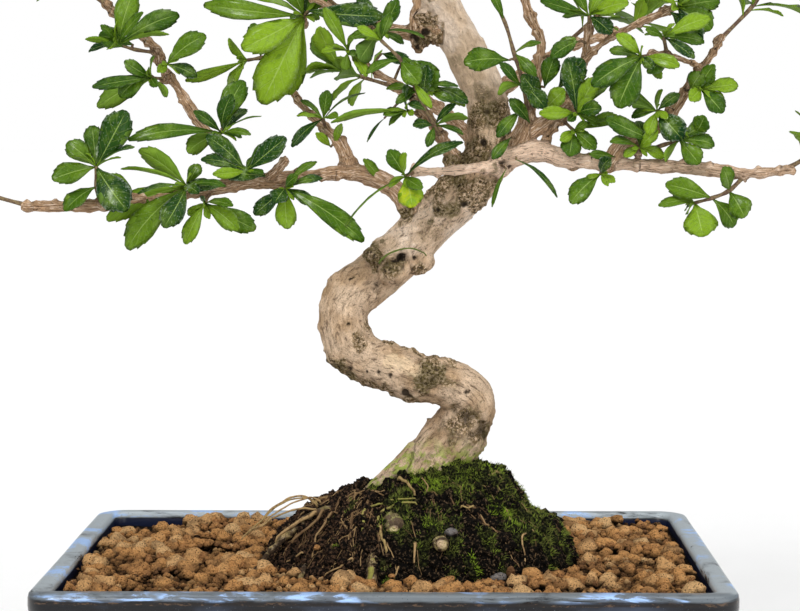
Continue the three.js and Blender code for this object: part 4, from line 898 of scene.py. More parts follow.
@dataclass
class Wood:
    """The trunk, its roots and all its branches, as one grown piece."""

    finish: BarkFinish
    voxel: float = 1.0
    spacing: float = 1.7
    lump: float = 0.7
    ridge: float = 0.35
    knobs: float = 0.18
    scar_spacing: float = 9.5
    bud: float = 2.3
    seed: int = 5
    # How much each axis counts when a mark looks for the surface: little along the photo's view
    facing: Point = (1, 0.12, 1)
    # How many points of the wood look for their limb at once
    batch: int = 4000

    def build(self) -> Object:
        """Builds and dresses the wood.

        Returns:
            The finished piece.
        """
        noise = Lattice(self.seed)
        grown = [self._limb(number, *limb, noise) for number, limb in enumerate(LIMBS)]
        shells = [shell for shell, _ in grown]
        shells += [ball(centre, size) for centre, size in KNOTS]
        shells += [ball(stem[0], (self.bud,) * 3, 5, 8) for stem in self._stems()]
        name = "trunk_and_branches_bark"
        piece = place(Shell.joined(shells).mesh(name), name)
        remesh = piece.modifiers.new("grown_together", "REMESH")
        remesh.mode, remesh.voxel_size = "VOXEL", self.voxel * MM
        smooth = piece.modifiers.new("soft_joins", "SMOOTH")
        smooth.factor, smooth.iterations = 0.5, 3
        settled(piece)
        self._carve(piece.data, np.concatenate([sample for _, sample in grown]), noise)
        piece.data.materials.clear()
        piece.data.materials.append(self.finish.material())
        return hang(piece, "bark", ["trunk_and_branches"])

    @staticmethod
    def _stems() -> list[Stem]:
        """The stems of all leafy shoots."""
        return [stem for stem, _ in [*SEEN_SHOOTS.values(), *GROWN_SHOOTS.values()]]

    def _limb(self, number: int, growth: Growth, points: list[tuple[float, ...]],
              noise: Lattice) -> tuple[Shell, np.ndarray]:
        """One limb's tube, and rows of centre, three directions, radius, length and the growth's values.

        Args:
            number: The limb's number.
            growth: What it is.
            points: Its points and the radius at each.
            noise: Where its knobs come from.

        Returns:
            The shell, and one row for each centre.
        """
        spline = Spline(points)
        stretches = np.linalg.norm(np.diff(spline.points, axis=0), axis=1)
        count = max(4, round(stretches.sum() / self.spacing))
        shares = np.linspace(0, 1, count + 1)
        line = spline.at(shares)
        places = shares * (len(points) - 1)
        radii = np.interp(places, np.arange(len(points)), [point[3] for point in points])
        length = np.concatenate([[0], np.cumsum(np.linalg.norm(np.diff(line, axis=0), axis=1))])
        if growth in (BRANCH, PINK):
            places = np.stack([length / 5, np.full_like(length, number * 7.7), length * 0], axis=1)
            wobble = noise.at(places, 2)
            radii = radii * (1 + self.knobs * wobble)
        sides = int(np.clip(radii.max() * 2.6, 10, 30))
        shell, across, beside = swept(line, radii, sides)
        heading = np.cross(across, beside)
        kind = np.tile(growth.value, (len(line), 1))
        column = np.stack([radii, length + 40 * number], axis=1)
        return shell, np.hstack([line, across, beside, heading, column, kind])

    def _nearest(self, points: np.ndarray, samples: np.ndarray) -> np.ndarray:
        """The number of the limb row whose surface is nearest to each point.

        Args:
            points: The points.
            samples: The rows of all limbs.

        Returns:
            One number for each point.
        """
        nearest = np.empty(len(points), int)
        centres, radii = samples[:, :3].astype(np.float32), samples[:, 12].astype(np.float32)
        for start in range(0, len(points), self.batch):
            chunk = points[start:start + self.batch].astype(np.float32)
            away = np.sqrt(((chunk[:, None] - centres) ** 2).sum(axis=2)) - radii
            nearest[start:start + self.batch] = away.argmin(axis=1)
        return nearest

    def _carve(self, mesh: Mesh, samples: np.ndarray, noise: Lattice) -> None:
        """Moves the wood's points into lumps, ridges and marks, and stores what the bark reads.

        Args:
            mesh: The wood's grown mesh.
            samples: The rows of all limbs.
            noise: Where its chance comes from.
        """
        points, normals = read_points(mesh), read_normals(mesh)
        mine = samples[self._nearest(points, samples)]
        offset = points - mine[:, :3]
        grain = np.stack([(offset * mine[:, first:first + 3]).sum(axis=1) for first in (3, 6, 9)], axis=1)
        grain[:, 2] += mine[:, 13]
        radius, age, blush = mine[:, 12], mine[:, 14], mine[:, 15]
        young = np.clip((6 - radius) / 4, 0, 1)
        thick = np.clip(radius / 8, 0.15, 1)
        move = self.lump * thick * noise.at(points / 9, 2)
        move += self.ridge * thick * noise.at(grain * [0.5, 0.5, 0.14], 3)
        move += young * (0.15 + 0.36 * noise.at(points / 2.2, 2))
        lump, shade = self._scars(grain, noise)
        move += lump * young * np.clip(age, 0, 1)
        dark = 1.35 * shade * young * age
        ragged = 1 + 0.55 * noise.at(points / 4.5 + 70, 3)
        for centre, reach, height, shade in MARKS:
            spot = points[((points - np.array(centre)) ** 2 @ np.array(self.facing)).argmin()]
            part = apart(points, spot) / reach * ragged
            hill = np.exp(-part**2)
            rim = np.exp(-((part - 1.35) / 0.4) ** 2)
            pit = np.exp(-(part / 0.5) ** 2)
            move += height * hill + (0.35 * abs(height) * rim if height < 0 else -0.7 * height * pit)
            # a mark's darkness: partly its own colour, partly painted shade in its hollow
            dark = np.maximum(dark, shade * (0.9 * hill if height < 0 else 0.9 * pit + 0.45 * rim))
        for stem in self._stems():
            near = np.exp(-(apart(points, stem[0]) / (1.5 * self.bud) * ragged) ** 2)
            move += near * 0.8 * noise.at(points / 1.4, 2)
            dark = np.maximum(dark, 0.62 * near)
        wander = noise.at(points / 2.6, 2)
        for centre, reach, height in BURLS:
            part = apart(points, centre) / reach
            inside = np.exp(-part**4)
            ripple = np.cos(part * 2.6 * math.pi + 2.2 * wander)
            move += inside * (height + 0.4 * ripple)
            dark = np.maximum(dark, 0.45 * inside * np.clip(-0.1 - 0.9 * ripple, 0, 1))
        crust, cut = np.zeros(len(points)), np.zeros(len(points))
        for centre, reach, strength in CRUSTS:
            crust = np.maximum(crust, strength * np.exp(-(apart(points, centre) / reach * ragged) ** 3))
        move += crust * (0.35 + 1.1 * noise.at(points / 1.9, 2))
        for centre, reach in CUTS:
            cut = np.maximum(cut, np.exp(-(apart(points, centre) / reach * (0.6 + 0.4 * ragged)) ** 4))
        write_points(mesh, points + normals * move[:, None])
        for name, column in (("grain", grain), ("age", np.clip(age * 0.75 + 0.25 * young, 0, 1)),
                             ("blush", blush * np.clip(1.3 - points[:, 0] / 160, 0, 1)), ("mark_and_painted_shade", dark),
                             ("crust", np.clip(crust, 0, 1)), ("cut", cut)):
            write_values(mesh, name, column)
        mesh.shade_smooth()

    def _scars(self, grain: np.ndarray, noise: Lattice) -> tuple[np.ndarray, np.ndarray]:
        """Leaf scars along the young wood.

        Args:
            grain: Places across and along the limbs.
            noise: Where their small shifts come from.

        Returns:
            How far each point stands out, and how dark it is.
        """
        row = grain[:, 2] / self.scar_spacing
        number = np.round(row)
        spread = np.stack([number * 3.7, number * 0, number * 0 + 2.5], axis=1)
        away = (row - number - 0.42 * noise.at(spread)) * self.scar_spacing
        turn = 9 * noise.at(spread + 11.3)
        facing = 0.5 + 0.5 * np.cos(np.arctan2(grain[:, 1], grain[:, 0]) - turn)
        lump = np.exp(-(away / 1.1) ** 2) * (0.25 + 0.85 * facing**3)
        ring = 0.75 * np.exp(-((away - 1.2) / 0.45) ** 2) * facing**2
        return 1.3 * lump, ring


@dataclass
class Leaf:
    """One leaf: where it grows from and to, and how it looks."""

    root: np.ndarray
    tip: np.ndarray
    width: float
    facing: np.ndarray
    tone: float


@dataclass(frozen=True)
class LeafForm:
    """The shape that every blade shares: half its outline, its arch and its fold."""

    # For each station the place of its vein's start on the rib, its place along the edge, and its half width
    outline: tuple[tuple[float, float, float], ...] = (
        (0.0, 0.0, 0.06), (0.09, 0.15, 0.22), (0.22, 0.33, 0.6), (0.38, 0.52, 0.9), (0.53, 0.67, 1.0),
        (0.66, 0.805, 0.93), (0.7, 0.815, 0.84), (0.8, 0.915, 0.66), (0.84, 0.905, 0.54), (0.93, 0.985, 0.27))
    arch: float = 0.1
    fold: float = 0.26
    cup: float = 0.1
    middle: float = 0.5
    thickness: float = 0.4
    wave: float = 0.07
    twist: float = 0.3

    def shell(self, leaf: Leaf, draw: "Draw") -> Shell:
        """Makes the closed blade.

        Args:
            leaf: The leaf.
            draw: Where its small differences come from.

        Returns:
            The shell, with its place along and across the blade, its tone and its side.
        """
        along = leaf.tip - leaf.root
        length = float(np.linalg.norm(along))
        along = along / length
        normal = unit(leaf.facing - leaf.facing @ along * along)
        across = np.cross(along, normal)
        waves, turn, bend = draw() * 3 + 2, (draw() - 0.5) * 2, draw() - 0.5
        rows: list[tuple[float, float]] = [(rib, 0.0) for rib, _, _ in self.outline] + [(1.0, 0.0)]
        size = len(self.outline)
        for sign in (1, -1):
            for column in (self.middle, 1.0):
                for rib, share, half in self.outline:
                    rows.append((rib + (share - rib) * column, sign * half * column))
        places = np.array(rows)
        share, side = places[:, 0], places[:, 1]
        lift = self.arch * length * 4 * share * (1 - share)
        lift += leaf.width / 2 * (self.fold * abs(side) - self.cup * side**2)
        lift += self.wave * leaf.width * abs(side) * np.sin(share * waves * math.pi + turn * 3 + side)
        lift += self.twist * turn * side * share * leaf.width / 2
        drift = bend * 0.09 * length * np.sin(share * math.pi)
        base = (leaf.root + along * (share * length)[:, None] + normal * lift[:, None]
                + across * (side * leaf.width / 2 + drift)[:, None])
        count = len(places)
        flanks = [(first, first + size) for first in (size + 1, size + 1 + 2 * size)]
        edge = np.zeros(count, bool)
        edge[size] = True
        for _, rim in flanks:
            edge[rim:rim + size] = True
        inner = np.flatnonzero(~edge)
        under = np.arange(count)
        under[inner] = count + np.arange(len(inner))
        points = np.vstack([base, base[inner] - normal * self.thickness])
        faces: list[tuple[int, ...]] = []
        for flank, (mid, rim) in enumerate(flanks):
            strips = [[*range(size + 1)], [*range(mid, mid + size), size], [*range(rim, rim + size), size]]
            for near, far in zip(strips, strips[1:]):
                for step in range(size):
                    quad = [near[step], far[step], far[step + 1], near[step + 1]]
                    faces += self._sides(quad[::-1] if flank else quad, under)
        for flank, (mid, rim) in enumerate(flanks):
            for near, far in ((0, mid), (mid, rim)):
                butt = [near, under[near], under[far], far]
                corners = (int(corner) for corner in (butt[::-1] if flank else butt))
                faces.append(tuple(dict.fromkeys(corners)))
        skin = np.concatenate([np.where(edge, 0.0, 1.0), np.full(len(inner), -1.0)])
        both = np.concatenate([np.arange(count), inner])
        ratio = np.where(edge, 1.0, np.where(abs(side) > 0, self.middle, 0.0)) * np.sign(side)
        blade = np.stack([share[both], ratio[both], np.full(len(both), leaf.tone)], axis=1)
        return Shell(points, faces, {"blade": blade, "skin": skin, "wood": np.zeros(len(both))})

    @staticmethod
    def _sides(quad: list[int], under: np.ndarray) -> list[tuple[int, ...]]:
        """A face of the upper side and the one below it, without corners that fall together.

        Args:
            quad: The upper face's corners.
            under: For each upper point the one below it.

        Returns:
            The faces that have three corners or more.
        """
        upper = tuple(dict.fromkeys(quad))
        lower = tuple(dict.fromkeys(int(under[corner]) for corner in reversed(quad)))
        return [face for face in (upper, lower) if len(face) > 2]


class Draw:
    """Seeded numbers from 0 to 1, by the rule that the solids' source draws them by."""

    def __init__(self, seed: int) -> None:
        """Starts the row of numbers."""
        self.state = seed & 0xFFFFFFFF

    def __call__(self) -> float:
        """The next number."""
        self.state = (self.state * 1664525 + 1013904223) & 0xFFFFFFFF
        return self.state / 2**32


@dataclass(frozen=True)
class LeafFinish:
    """Glossy green above, paler and duller below, with a thin pale rib, fine pale specks, and painted whitish
    sheen in patches and along the edges.
    """

    dark: Colour = srgb(2, 48, 12)
    green: Colour = srgb(54, 90, 6)
    bright: Colour = srgb(130, 164, 32)
    yellow: Colour = srgb(190, 198, 30)
    shade: Colour = srgb(26, 52, 8)
    under: Colour = srgb(98, 128, 54)
    rib: Colour = srgb(160, 186, 96)
    # speck: the leaf's pale specks, and the colour of its painted sheen
    speck_and_painted_sheen: Colour = srgb(196, 212, 190)
    stem: Colour = srgb(134, 116, 84)
    stem_old: Colour = srgb(100, 78, 66)
    vein_depth: float = 0.4

    def material(self) -> Material:
        """Builds the leaf from its own place along and across the blade.

        Returns:
            The material.
        """
        paint = Paint("leaf", {"Specular IOR Level": 0.12, "Coat Roughness": 0.16})
        share, side, tone = paint.parts(paint.value("blade", (1, 1, 1)))
        under, wood = paint.value("skin").math("LESS_THAN", 0), paint.value("wood")
        away = side.math("ABSOLUTE")
        rib = away.above(0.055, 0.015) * share.above(1.0, 0.8)
        vein = ((share - away * 0.26) * 46).math("SINE").above(0.8, 1.0) * away.above(0.95, 0.5)
        cloud, fine = paint.noise(0.13, 4, 0.55), paint.noise(0.75, 4, 0.65)
        leafy = paint.layers(
            self.dark,
            ((tone * 2.2).math("MINIMUM", 1), self.green),
            (tone.above(0.42, 0.85), self.bright),
            (tone.above(0.9, 1.0) * cloud.above(0.4, 0.6), self.yellow),
            (cloud.above(0.42, 0.7) * 0.4, self.bright),
            (fine.above(0.52, 0.36) * (0.55 - 0.45 * tone), self.shade))
        below = paint.layers(self.under, (tone, self.bright), (cloud.above(0.6, 0.4) * 0.35, self.green))
        dots = paint.cells(0.95).above(0.3, 0.14)
        # painted sheen: whitish patches and pale edges, strongest on dark upper faces
        painted_sheen = fine.above(0.58, 0.72) * cloud.above(0.42, 0.58)
        painted_edge_sheen = away.above(0.72, 0.98) * fine.above(0.44, 0.58)
        shown = (1 - under) * (0.35 + 0.65 * tone.above(0.4, 0.05))
        pale = (dots * 0.22 + painted_sheen * 0.24 + painted_edge_sheen * 0.42) * shown
        colour = paint.layers(
            leafy,
            (under, below),
            ((rib * 0.6 + vein * 0.16).math("MINIMUM", 1), self.rib),
            (pale, self.speck_and_painted_sheen),
            (wood, paint.mix(fine.above(0.4, 0.6), self.stem, self.stem_old)))
        blade = away.above(0.0, 0.3) * 0.5 - vein * 0.35 + cloud * 0.9 + fine * 0.3
        height = blade * (1 - wood) + fine * wood
        roughness = (0.3 + 0.2 * fine) * (1 - under) + under * 0.55
        coat = (1 - under) * (1 - wood) * (0.03 + 0.55 * cloud.above(0.5, 0.66))
        connect(paint.shader, {"Coat Weight": coat})
        return paint.finish(colour, roughness + wood * 0.3, height, self.vein_depth)


Listed = tuple[float, ...]


# Leafy shoots that the photo shows: the stem's points, then for each leaf the number of the stem
# point that it grows from, its tip from there along x, y and z, its width, how far its upper face
# turns to the front, or its lower face where that number is below 0, and where needed its tone,
# from 0, dark, to 1, young and yellow.
SEEN_SHOOTS: dict[str, tuple[Stem, list[Listed]]] = {
    "left_end_top": ([(-98, 0, 292), (-106, -4, 293), (-113, -7, 295)], [
        (2, -7, -3, 8, 5, 0.5, 0.5), (2, 6, 4, 22, 10, 0.9, 0.6), (2, 25, 8, 13, 9, 0.9, 0.45),
        (2, 22, -3, 4, 4, -0.4), (2, -13, -6, 2, 4, -0.5), (2, -13, 3, -3, 5, 0.4),
        (2, 12, -9, 13, 6, 0.6, 0.5)]),
    "left_bud_right": ([(-96, 1, 288), (-93, -3, 287)], [
        (1, 17, -3, 12, 10, 0.9, 0.55), (1, 10, 2, -6, 3, 0.3)]),
    "left_bud_left": ([(-94, 0, 281), (-99, -6, 281)], [
        (1, -11, -5, 7, 6, 0.8, 0.45), (1, -24, 4, -12, 9, -0.9, 0.45), (1, -24, -9, -4, 6, 0.8, 0.3),
        (1, 7, -5, -8, 4, -0.7)]),
    "left_fork": ([(-75, -8, 257), (-69, -14, 258)], [
        (1, 9, 4, 22, 10, 0.8, 0.5), (1, 10, 8, 10, 6, 0.5, 0.15), (1, 17, 0, 7, 3, 0.1, 0.15),
        (1, -11, -8, 9, 5, 0.8, 0.25), (1, 13, -8, -1, 4, 0.5), (1, -14, -5, -8, 8, -0.8, 0.45),
        (1, -38, -10, -3, 7, 0.7, 0.5)]),
    "left_mid_top": ([(-58, -16, 238), (-58, -23, 242)], [
        (1, -16, -6, 15, 8, 0.8, 0.15), (1, 17, -4, 14, 9, 0.7, 0.12), (1, -18, -9, 5, 6, 0.7, 0.12),
        (1, -13, -11, -1, 5, 0.9, 0.8), (1, -11, 6, 9, 6, 0.5), (1, 11, 8, 11, 7, 0.6)]),
    "left_mid_low": ([(-79, -22, 234), (-82, -28, 236)], [
        (1, -20, 0, 15, 9, -0.6, 0.55), (1, -27, -5, 7, 5, -0.3, 0.6), (1, 5, 2, 9, 6, 0.7),
        (1, -19, -13, -3, 4, 0.3, 0.15), (1, 17, -11, 0, 4, 0.5), (1, -9, -8, -17, 10, 0.9, 0.15),
        (1, -25, -2, -26, 12, 0.8, 0.6), (1, -33, -4, -14, 10, -0.7, 0.65)]),
    "left_knob": ([(-73, -21, 234), (-75, -26, 229)], [
        (1, 15, -8, -11, 8, 0.9, 0.65), (1, 21, 2, -11, 9, 0.8, 0.5), (1, -8, -3, -17, 7, 0.9, 0.7),
        (1, 13, -14, -1, 5, 0.5)]),
    "left_inner": ([(-43, -13, 238), (-42, -20, 235)], [
        (1, -13, -2, -11, 7, 0.8, 0.1), (1, -4, -9, -6, 8, 0.7, 0.15), (1, 1, -3, -17, 9, 0.9, 0.7),
        (1, 16, -6, 4, 6, 0.5, 0.15), (1, 13, 5, 11, 4, 0.4), (1, 33, -5, -22, 9, 0.8, 0.5)]),
    "left_far": ([(-118, -28, 229), (-119, -32, 236), (-119, -32, 244)], [
        (2, 13, -2, 23, 13, 0.9, 0.2), (2, 17, -8, 8, 6, 0.3, 0.1), (2, 14, -10, -18, 14, 0.9, 0.08),
        (2, -12, 0, 10, 9, 0.8), (2, -17, -8, -5, 10, 0.8), (1, -12, -8, -10, 9, 0.6),
        (2, -3, 10, 17, 8, 0.7)]),
    "upper_left_rosette": ([(-36, 8, 305), (-35, 0, 307)], [
        (1, -26, -8, -14, 13, 0.9, 0.85), (1, -18, -4, -37, 18, 0.95, 0.85), (1, -7, 6, -33, 10, 0.8, 0.75),
        (1, -43, 2, 5, 9, 0.8, 0.6), (1, -24, 8, 8, 5, 0.5, 0.7), (1, 11, -4, 14, 9, 0.8),
        (1, -9, -6, 18, 10, 0.8)]),
    "upper_left_hidden": ([(-46, 12, 291), (-54, 10, 290), (-60, 9, 289)], [
        (2, -26, -6, -9, 5, -0.8, 0.85), (1, -4, 4, 15, 7, 0.6), (2, -8, 8, -13, 6, 0.6)]),
    "inner_left_bud": ([(-13, -9, 290), (-16, -14, 292)], [
        (1, -10, -2, 18, 6, 0.8, 0.65), (1, -1, -3, -8, 5, -0.6), (1, 8, -8, -11, 5, 0.6)]),
    "inner_left_knot": ([(-5, -8, 301), (-3, -14, 300)], [
        (1, -12, -6, -3, 5, 0.6), (1, -8, -10, -12, 9, -0.8), (1, 8, -6, 13, 7, 0.9), (1, 19, -7, -3, 4, 0.3),
        (1, -9, 2, 14, 7, 0.7)]),
    "dark_shoot": ([(23, -14, 256), (20, -18, 261), (15, -20, 270), (11, -23, 279), (6, -23, 288),
        (-2, -21, 296)], [
        (4, -14, -7, -6, 5, 0.6), (4, 8, -6, -10, 9, 0.8, 0.55), (2, 2, -5, 16, 6, 0.9),
        (5, -10, -6, 5, 5, 0.6), (5, 4, -4, 11, 5, 0.7), (3, 8, -7, -11, 4, 0.8), (1, 9, -3, 9, 4, 0.6, 0.1),
        (1, -9, -4, 0, 5, 0.6, 0.15), (1, 14, -7, 3, 6, -0.4, 0.3), (1, 12, -5, -4, 4, 0.5, 0.2),
        (1, -3, -6, -9, 4, 0.8)]),
    "side_bud_left": ([(-26, 3, 259), (-27, -3, 264)], [
        (1, 2, -2, 12, 6, 0.9, 0.5), (1, 18, 3, 11, 3, 0.1, 0.1), (1, -10, 6, 8, 4, 0.4),
        (1, -13, -7, -12, 5, 0.7)]),
    "inner_mid": ([(9, -12, 274), (13, -18, 276)], [
        (1, -13, -3, 0, 4, 0.5), (1, -9, -6, -6, 4, 0.6), (1, 17, -4, 1, 4, 0.4), (1, 20, 4, -7, 6, -0.5)]),
    "pink_tip": ([(12, -19, 242), (8, -24, 240)], [
        (1, -7, -3, 11, 7, 0.9, 0.5), (1, 3, -5, -13, 11, 1, 1), (1, 24, -6, 14, 6, 0.5, 0.05),
        (1, -25, -3, -21, 3, 0.2)]),
    "inner_bud_leaf": ([(14, -13, 266), (9, -19, 267)], [
        (1, -32, -4, -5, 5, -0.5, 0.5), (1, -8, 3, -6, 4, 0.5)]),
    "fork_shoot": ([(59, -7, 267), (57, -16, 278), (53, -18, 291), (49, -18, 304), (43, -18, 315)], [
        (1, -11, -9, -4, 5, -0.6, 0.5), (1, 9, -7, -10, 8, 0.9, 0.15), (2, 9, -7, -10, 5, 0.9, 0.5),
        (2, 11, -5, 4, 4, 0.5), (3, -6, -4, 13, 4, 0.8), (4, -9, -3, 8, 8, 0.8), (4, 9, -4, 12, 8, 0.8)]),
    "stub_up": ([(75, -10, 268), (79, -18, 266)], [
        (1, -4, -2, 23, 9, 0.9, 0.12), (1, -16, -8, 0, 6, 0.9, 0.85), (1, 8, -2, 15, 8, 0.8, 0.75),
        (1, 10, -7, 2, 7, 0.7, 0.3), (1, 14, 7, 14, 6, 0.5)]),
    "stub_down": ([(74, -9, 263), (78, -15, 259)], [
        (1, -2, -5, -11, 9, 0.8, 0.5), (1, 9, -5, -8, 7, 0.8, 0.5), (1, 25, -6, 3, 5, 0.3),
        (1, 19, 6, 6, 6, 0.8)]),
    "right_spur": ([(85, -2, 302), (85, -4, 307)], [
        (1, -21, -6, 6, 6, 0.8, 0.45), (1, -5, 2, 10, 5, 0.8), (1, 7, 5, 13, 6, 0.8),
        (1, 16, -8, 5, 9, 0.7, 0.8), (1, 9, -6, -8, 8, 0.8, 0.1), (1, -11, 6, 0, 5, 0.5)]),
    "right_twig_tip": ([(117, -9, 309), (121, -14, 310)], [
        (1, 14, -4, -9, 11, 0.8, 0.55), (1, 18, 4, 3, 9, 0.8), (1, -11, 4, 11, 9, 0.8),
        (1, 6, -9, -16, 9, 0.9, 0.03), (1, 4, 7, 16, 9, 0.8), (1, 8, -12, 10, 6, 0.6)]),
    "right_knob": ([(110, -23, 290), (105, -28, 289)], [
        (1, -21, -6, -12, 10, 0.8, 0.4), (1, -13, 4, 3, 6, 0.6), (1, -11, -5, 9, 6, 0.8),
        (1, -10, -3, -21, 13, 0.9, 0.45), (1, 15, -6, -4, 6, 0.8, 0.75), (1, 8, -2, -9, 5, -0.6)]),
    "right_upright": ([(116, -22, 290), (114, -27, 297)], [
        (1, -8, -5, 3, 4, 0.8), (1, 12, -6, -9, 6, 0.6), (1, 17, 2, -2, 6, 0.7), (1, 19, -1, 8, 8, 0.8)]),
    "second_bud": ([(118, -13, 266), (112, -22, 267)], [
        (1, -18, -5, 10, 6, 0.4), (1, -11, -7, 3, 5, -0.6), (1, 9, -4, 7, 5, 0.8),
        (1, 10, -7, -12, 11, 0.9, 0.03), (1, -4, -3, -10, 6, 0.6)]),
    "second_side": ([(126, -15, 277), (130, -21, 276)], [
        (1, 5, -6, 10, 6, 0.7), (1, 9, -3, -10, 9, 0.7), (1, 16, 4, 2, 8, 0.7)]),
    "second_low": ([(104, -14, 254), (105, -20, 252)], [
        (1, -16, -5, 10, 7, -0.8, 0.5), (1, 0, 5, 11, 7, 0.8, 0.3), (1, -13, -9, 2, 5, 0.5)]),
    "right_dark_twig": ([(105, -14, 250), (115, -21, 253), (121, -24, 255)], [
        (2, -6, -4, -9, 6, -0.5), (2, -3, -11, -3, 8, 0.9, 0.65), (2, 8, -4, -10, 9, 0.8, 0.55),
        (2, 15, 2, -2, 8, 0.7), (2, 12, 4, 7, 7, 0.6)]),
    "right_hang_leaf": ([(90, -15, 244), (89, -22, 241)], [
        (1, -13, -5, -12, 9, 0.8, 0.5)]),
    "right_drop": ([(148, -22, 240), (142, -22, 234), (135, -22, 231), (128, -22, 229)], [
        (3, -16, -8, -1, 5, 0.7, 0.6), (3, 3, -5, -14, 15, 0.9, 0.75), (2, -20, -6, 6, 9, 0.9, 0.6),
        (1, 6, -5, -11, 10, 0.8), (1, -4, -10, 10, 8, 0.7), (2, 10, 4, -12, 9, 0.7)]),
}

# Single leaves that only the looks show: by shoot, where each grows from, its tip from there, its width,
# how far it turns to the front, and its tone
SINGLE_LEAVES: dict[str, list[tuple[Point, Point, float, float, float]]] = {
    "stub_down": [((52, -15, 256), (-8, -5, -9), 5, 0.8, 0.4), ((50, -15, 243), (-6, -5, -16), 2.4, 0.3, 0.5),
        ((54, -15, 247), (17, -7, -16), 3, 0.4, 0.2), ((60, -12, 262), (-9, -6, 10), 6, 0.8, 0.3)],
    "right_hang_leaf": [((95, -18, 248), (-11, -5, 1), 4.4, 0.7, 0.5)],
    "inner_mid": [((-1, -12, 264), (-7, -8, -10), 1.6, 0.5, 0.1),
        ((14, -18, 275), (-3, -6, 13), 8, 0.8, 0.45), ((21, -16, 277), (13, -2, -7), 7, 0.6, 0.15)],
    "side_bud_left": [((-24, 0, 252), (-6, -8, 6), 4, 0.8, 0.8), ((-22, 0, 253), (3, -6, 9), 3.6, 0.8, 0.7)],
    "dark_shoot": [((16, -17, 277), (3, -5, 9), 4, 0.8, 0.4), ((18, -17, 275), (10, -6, -4), 4.6, 0.8, 0.3),
        ((14, -18, 278), (-7, -6, 11), 5, 0.8, 0.5), ((17, -20, 267), (-8, -2, 3), 4, 0.6, 0.2)],
    "left_far": [((-104, -26, 232), (-9, -8, 9), 6, 0.7, 0.6), ((-99, -27, 231), (6, -5, -10), 5, 0.8, 0.5)],
    "pink_tip": [((-2, 0, 237), (-8, -9, 10), 5, 0.7, 0.6)],
    "upper_left_rosette": [((-33, -5, 309), (32, -11, -3), 11, 0.85, 0.1)],
    "right_twig_tip": [((118, -14, 308), (12, -10, -13), 10, 0.85, 0.08)],
    "stub_up": [((64, -14, 271), (-8, -8, 11), 9, 0.9, 0.1), ((66, -14, 268), (8, -8, 8), 8, 0.8, 0.7),
        ((61, -12, 282), (-6, -6, 6), 6, 0.8, 0.85), ((72, -13, 277), (10, -8, 11), 12, 0.85, 0.12),
        ((66, -12, 277), (4, -6, 13), 8, 0.8, 0.45), ((69, -8, 290), (10, -6, 7), 7, 0.8, 0.5),
        ((80, -12, 296), (-12, -8, -7), 7, 0.8, 0.45)],
    "second_bud": [((110, -20, 255), (-20, -8, 9), 7.5, 0.8, 0.45)],
    "left_mid_low": [((-66, -26, 236), (-17, -6, -1), 6.5, 0.6, 0.06)],
    "left_end_top": [((-107, -4, 295), (-14, -4, 4), 9, 0.8, 0.45)],
    "left_bud_left": [((-101, -3, 282), (-11, -9, -9), 9, 0.8, 0.5)],
    "inner_left_knot": [((-2, -12, 291), (12, -8, -4), 6, 0.8, 0.15),
        ((7, -14, 288), (14, -6, -12), 12, 0.7, 0.5)],
    "fork_shoot": [((56, -14, 267), (-10, -6, -11), 6, 0.8, 0.4),
        ((51, -18, 288), (-19, -4, -1), 10, 0.8, 0.5), ((56, -17, 277), (-9, -4, 10), 5, 0.6, 0.35)],
    "right_upright": [((116, -24, 290), (-9, -8, -8), 7, 0.8, 0.4)],
    "right_drop": [((128, -22, 258), (3, -6, 7), 8, 0.8, 0.45)],
    "second_side": [((126, -19, 276), (4, -6, 7), 8, 0.8, 0.5)],
    "left_inner": [((-50, -20, 240), (-19, -6, 2), 8, 0.7, 0.1)],
    "left_fork": [((-69, -14, 260), (5, -6, 14), 7, 0.8, 0.3)],
}

# Shoots beyond the photo's edges: the stem's points, and the length of their leaves
GROWN_SHOOTS: dict[str, tuple[Stem, float]] = {
    "far_left_tip": ([(-146, -35, 228), (-161, -38, 232), (-172, -38, 240)], 23),
    "far_right_tip": ([(165, -26, 243), (172, -28, 247), (176, -28, 254)], 20),
    "upper_left_tip": ([(-118, -4, 312), (-130, -7, 320), (-140, -8, 332)], 23),
    "upper_right_tip": ([(138, -16, 296), (150, -16, 308), (158, -14, 320)], 22),
    "left_shelf_mid": ([(-56, -11, 366), (-62, -26, 374), (-66, -34, 382)], 22),
    "left_shelf_tip": ([(-102, -18, 374), (-118, -20, 380), (-132, -18, 388)], 23),
    "right_shelf_mid": ([(64, -8, 390), (74, -24, 396), (80, -34, 404)], 22),
    "right_shelf_tip": ([(116, -16, 402), (130, -16, 408), (142, -12, 416)], 23),
    "front_mid": ([(6, -42, 368), (-6, -56, 384), (-10, -60, 394)], 21),
    "front_tip": ([(-4, -90, 380), (-4, -108, 386), (-2, -121, 394)], 22),
    "back_mid": ([(4, 58, 356), (22, 66, 364), (34, 72, 370)], 21),
    "back_tip": ([(-2, 104, 368), (0, 110, 376), (4, 113, 386)], 22),
    "back_low_tip": ([(1, 102, 280), (-12, 112, 284), (-24, 116, 288)], 22),
    "back_right_tip": ([(102, 86, 304), (114, 96, 308), (122, 100, 316)], 22),
    "back_right_mid": ([(72, 48, 292), (88, 40, 306), (98, 36, 316)], 21),
    "back_left_tip": ([(-70, 77, 324), (-84, 86, 328), (-94, 90, 336)], 22),
    "back_left_mid": ([(-20, 46, 311), (-34, 40, 324), (-46, 36, 332)], 21),
    "top_left_tip": ([(-50, 16, 423), (-64, 14, 430), (-72, 12, 438)], 22),
    "top_right_tip": ([(86, 14, 437), (96, 14, 442), (104, 12, 448)], 21),
    "top_front_tip": ([(21, -50, 446), (20, -62, 450), (18, -68, 458)], 20),
    "top_back_tip": ([(30, 56, 441), (28, 68, 446), (24, 74, 454)], 20),
    "apex": ([(25, -3, 450), (23, -4, 462), (20, -4, 472)], 21),
}


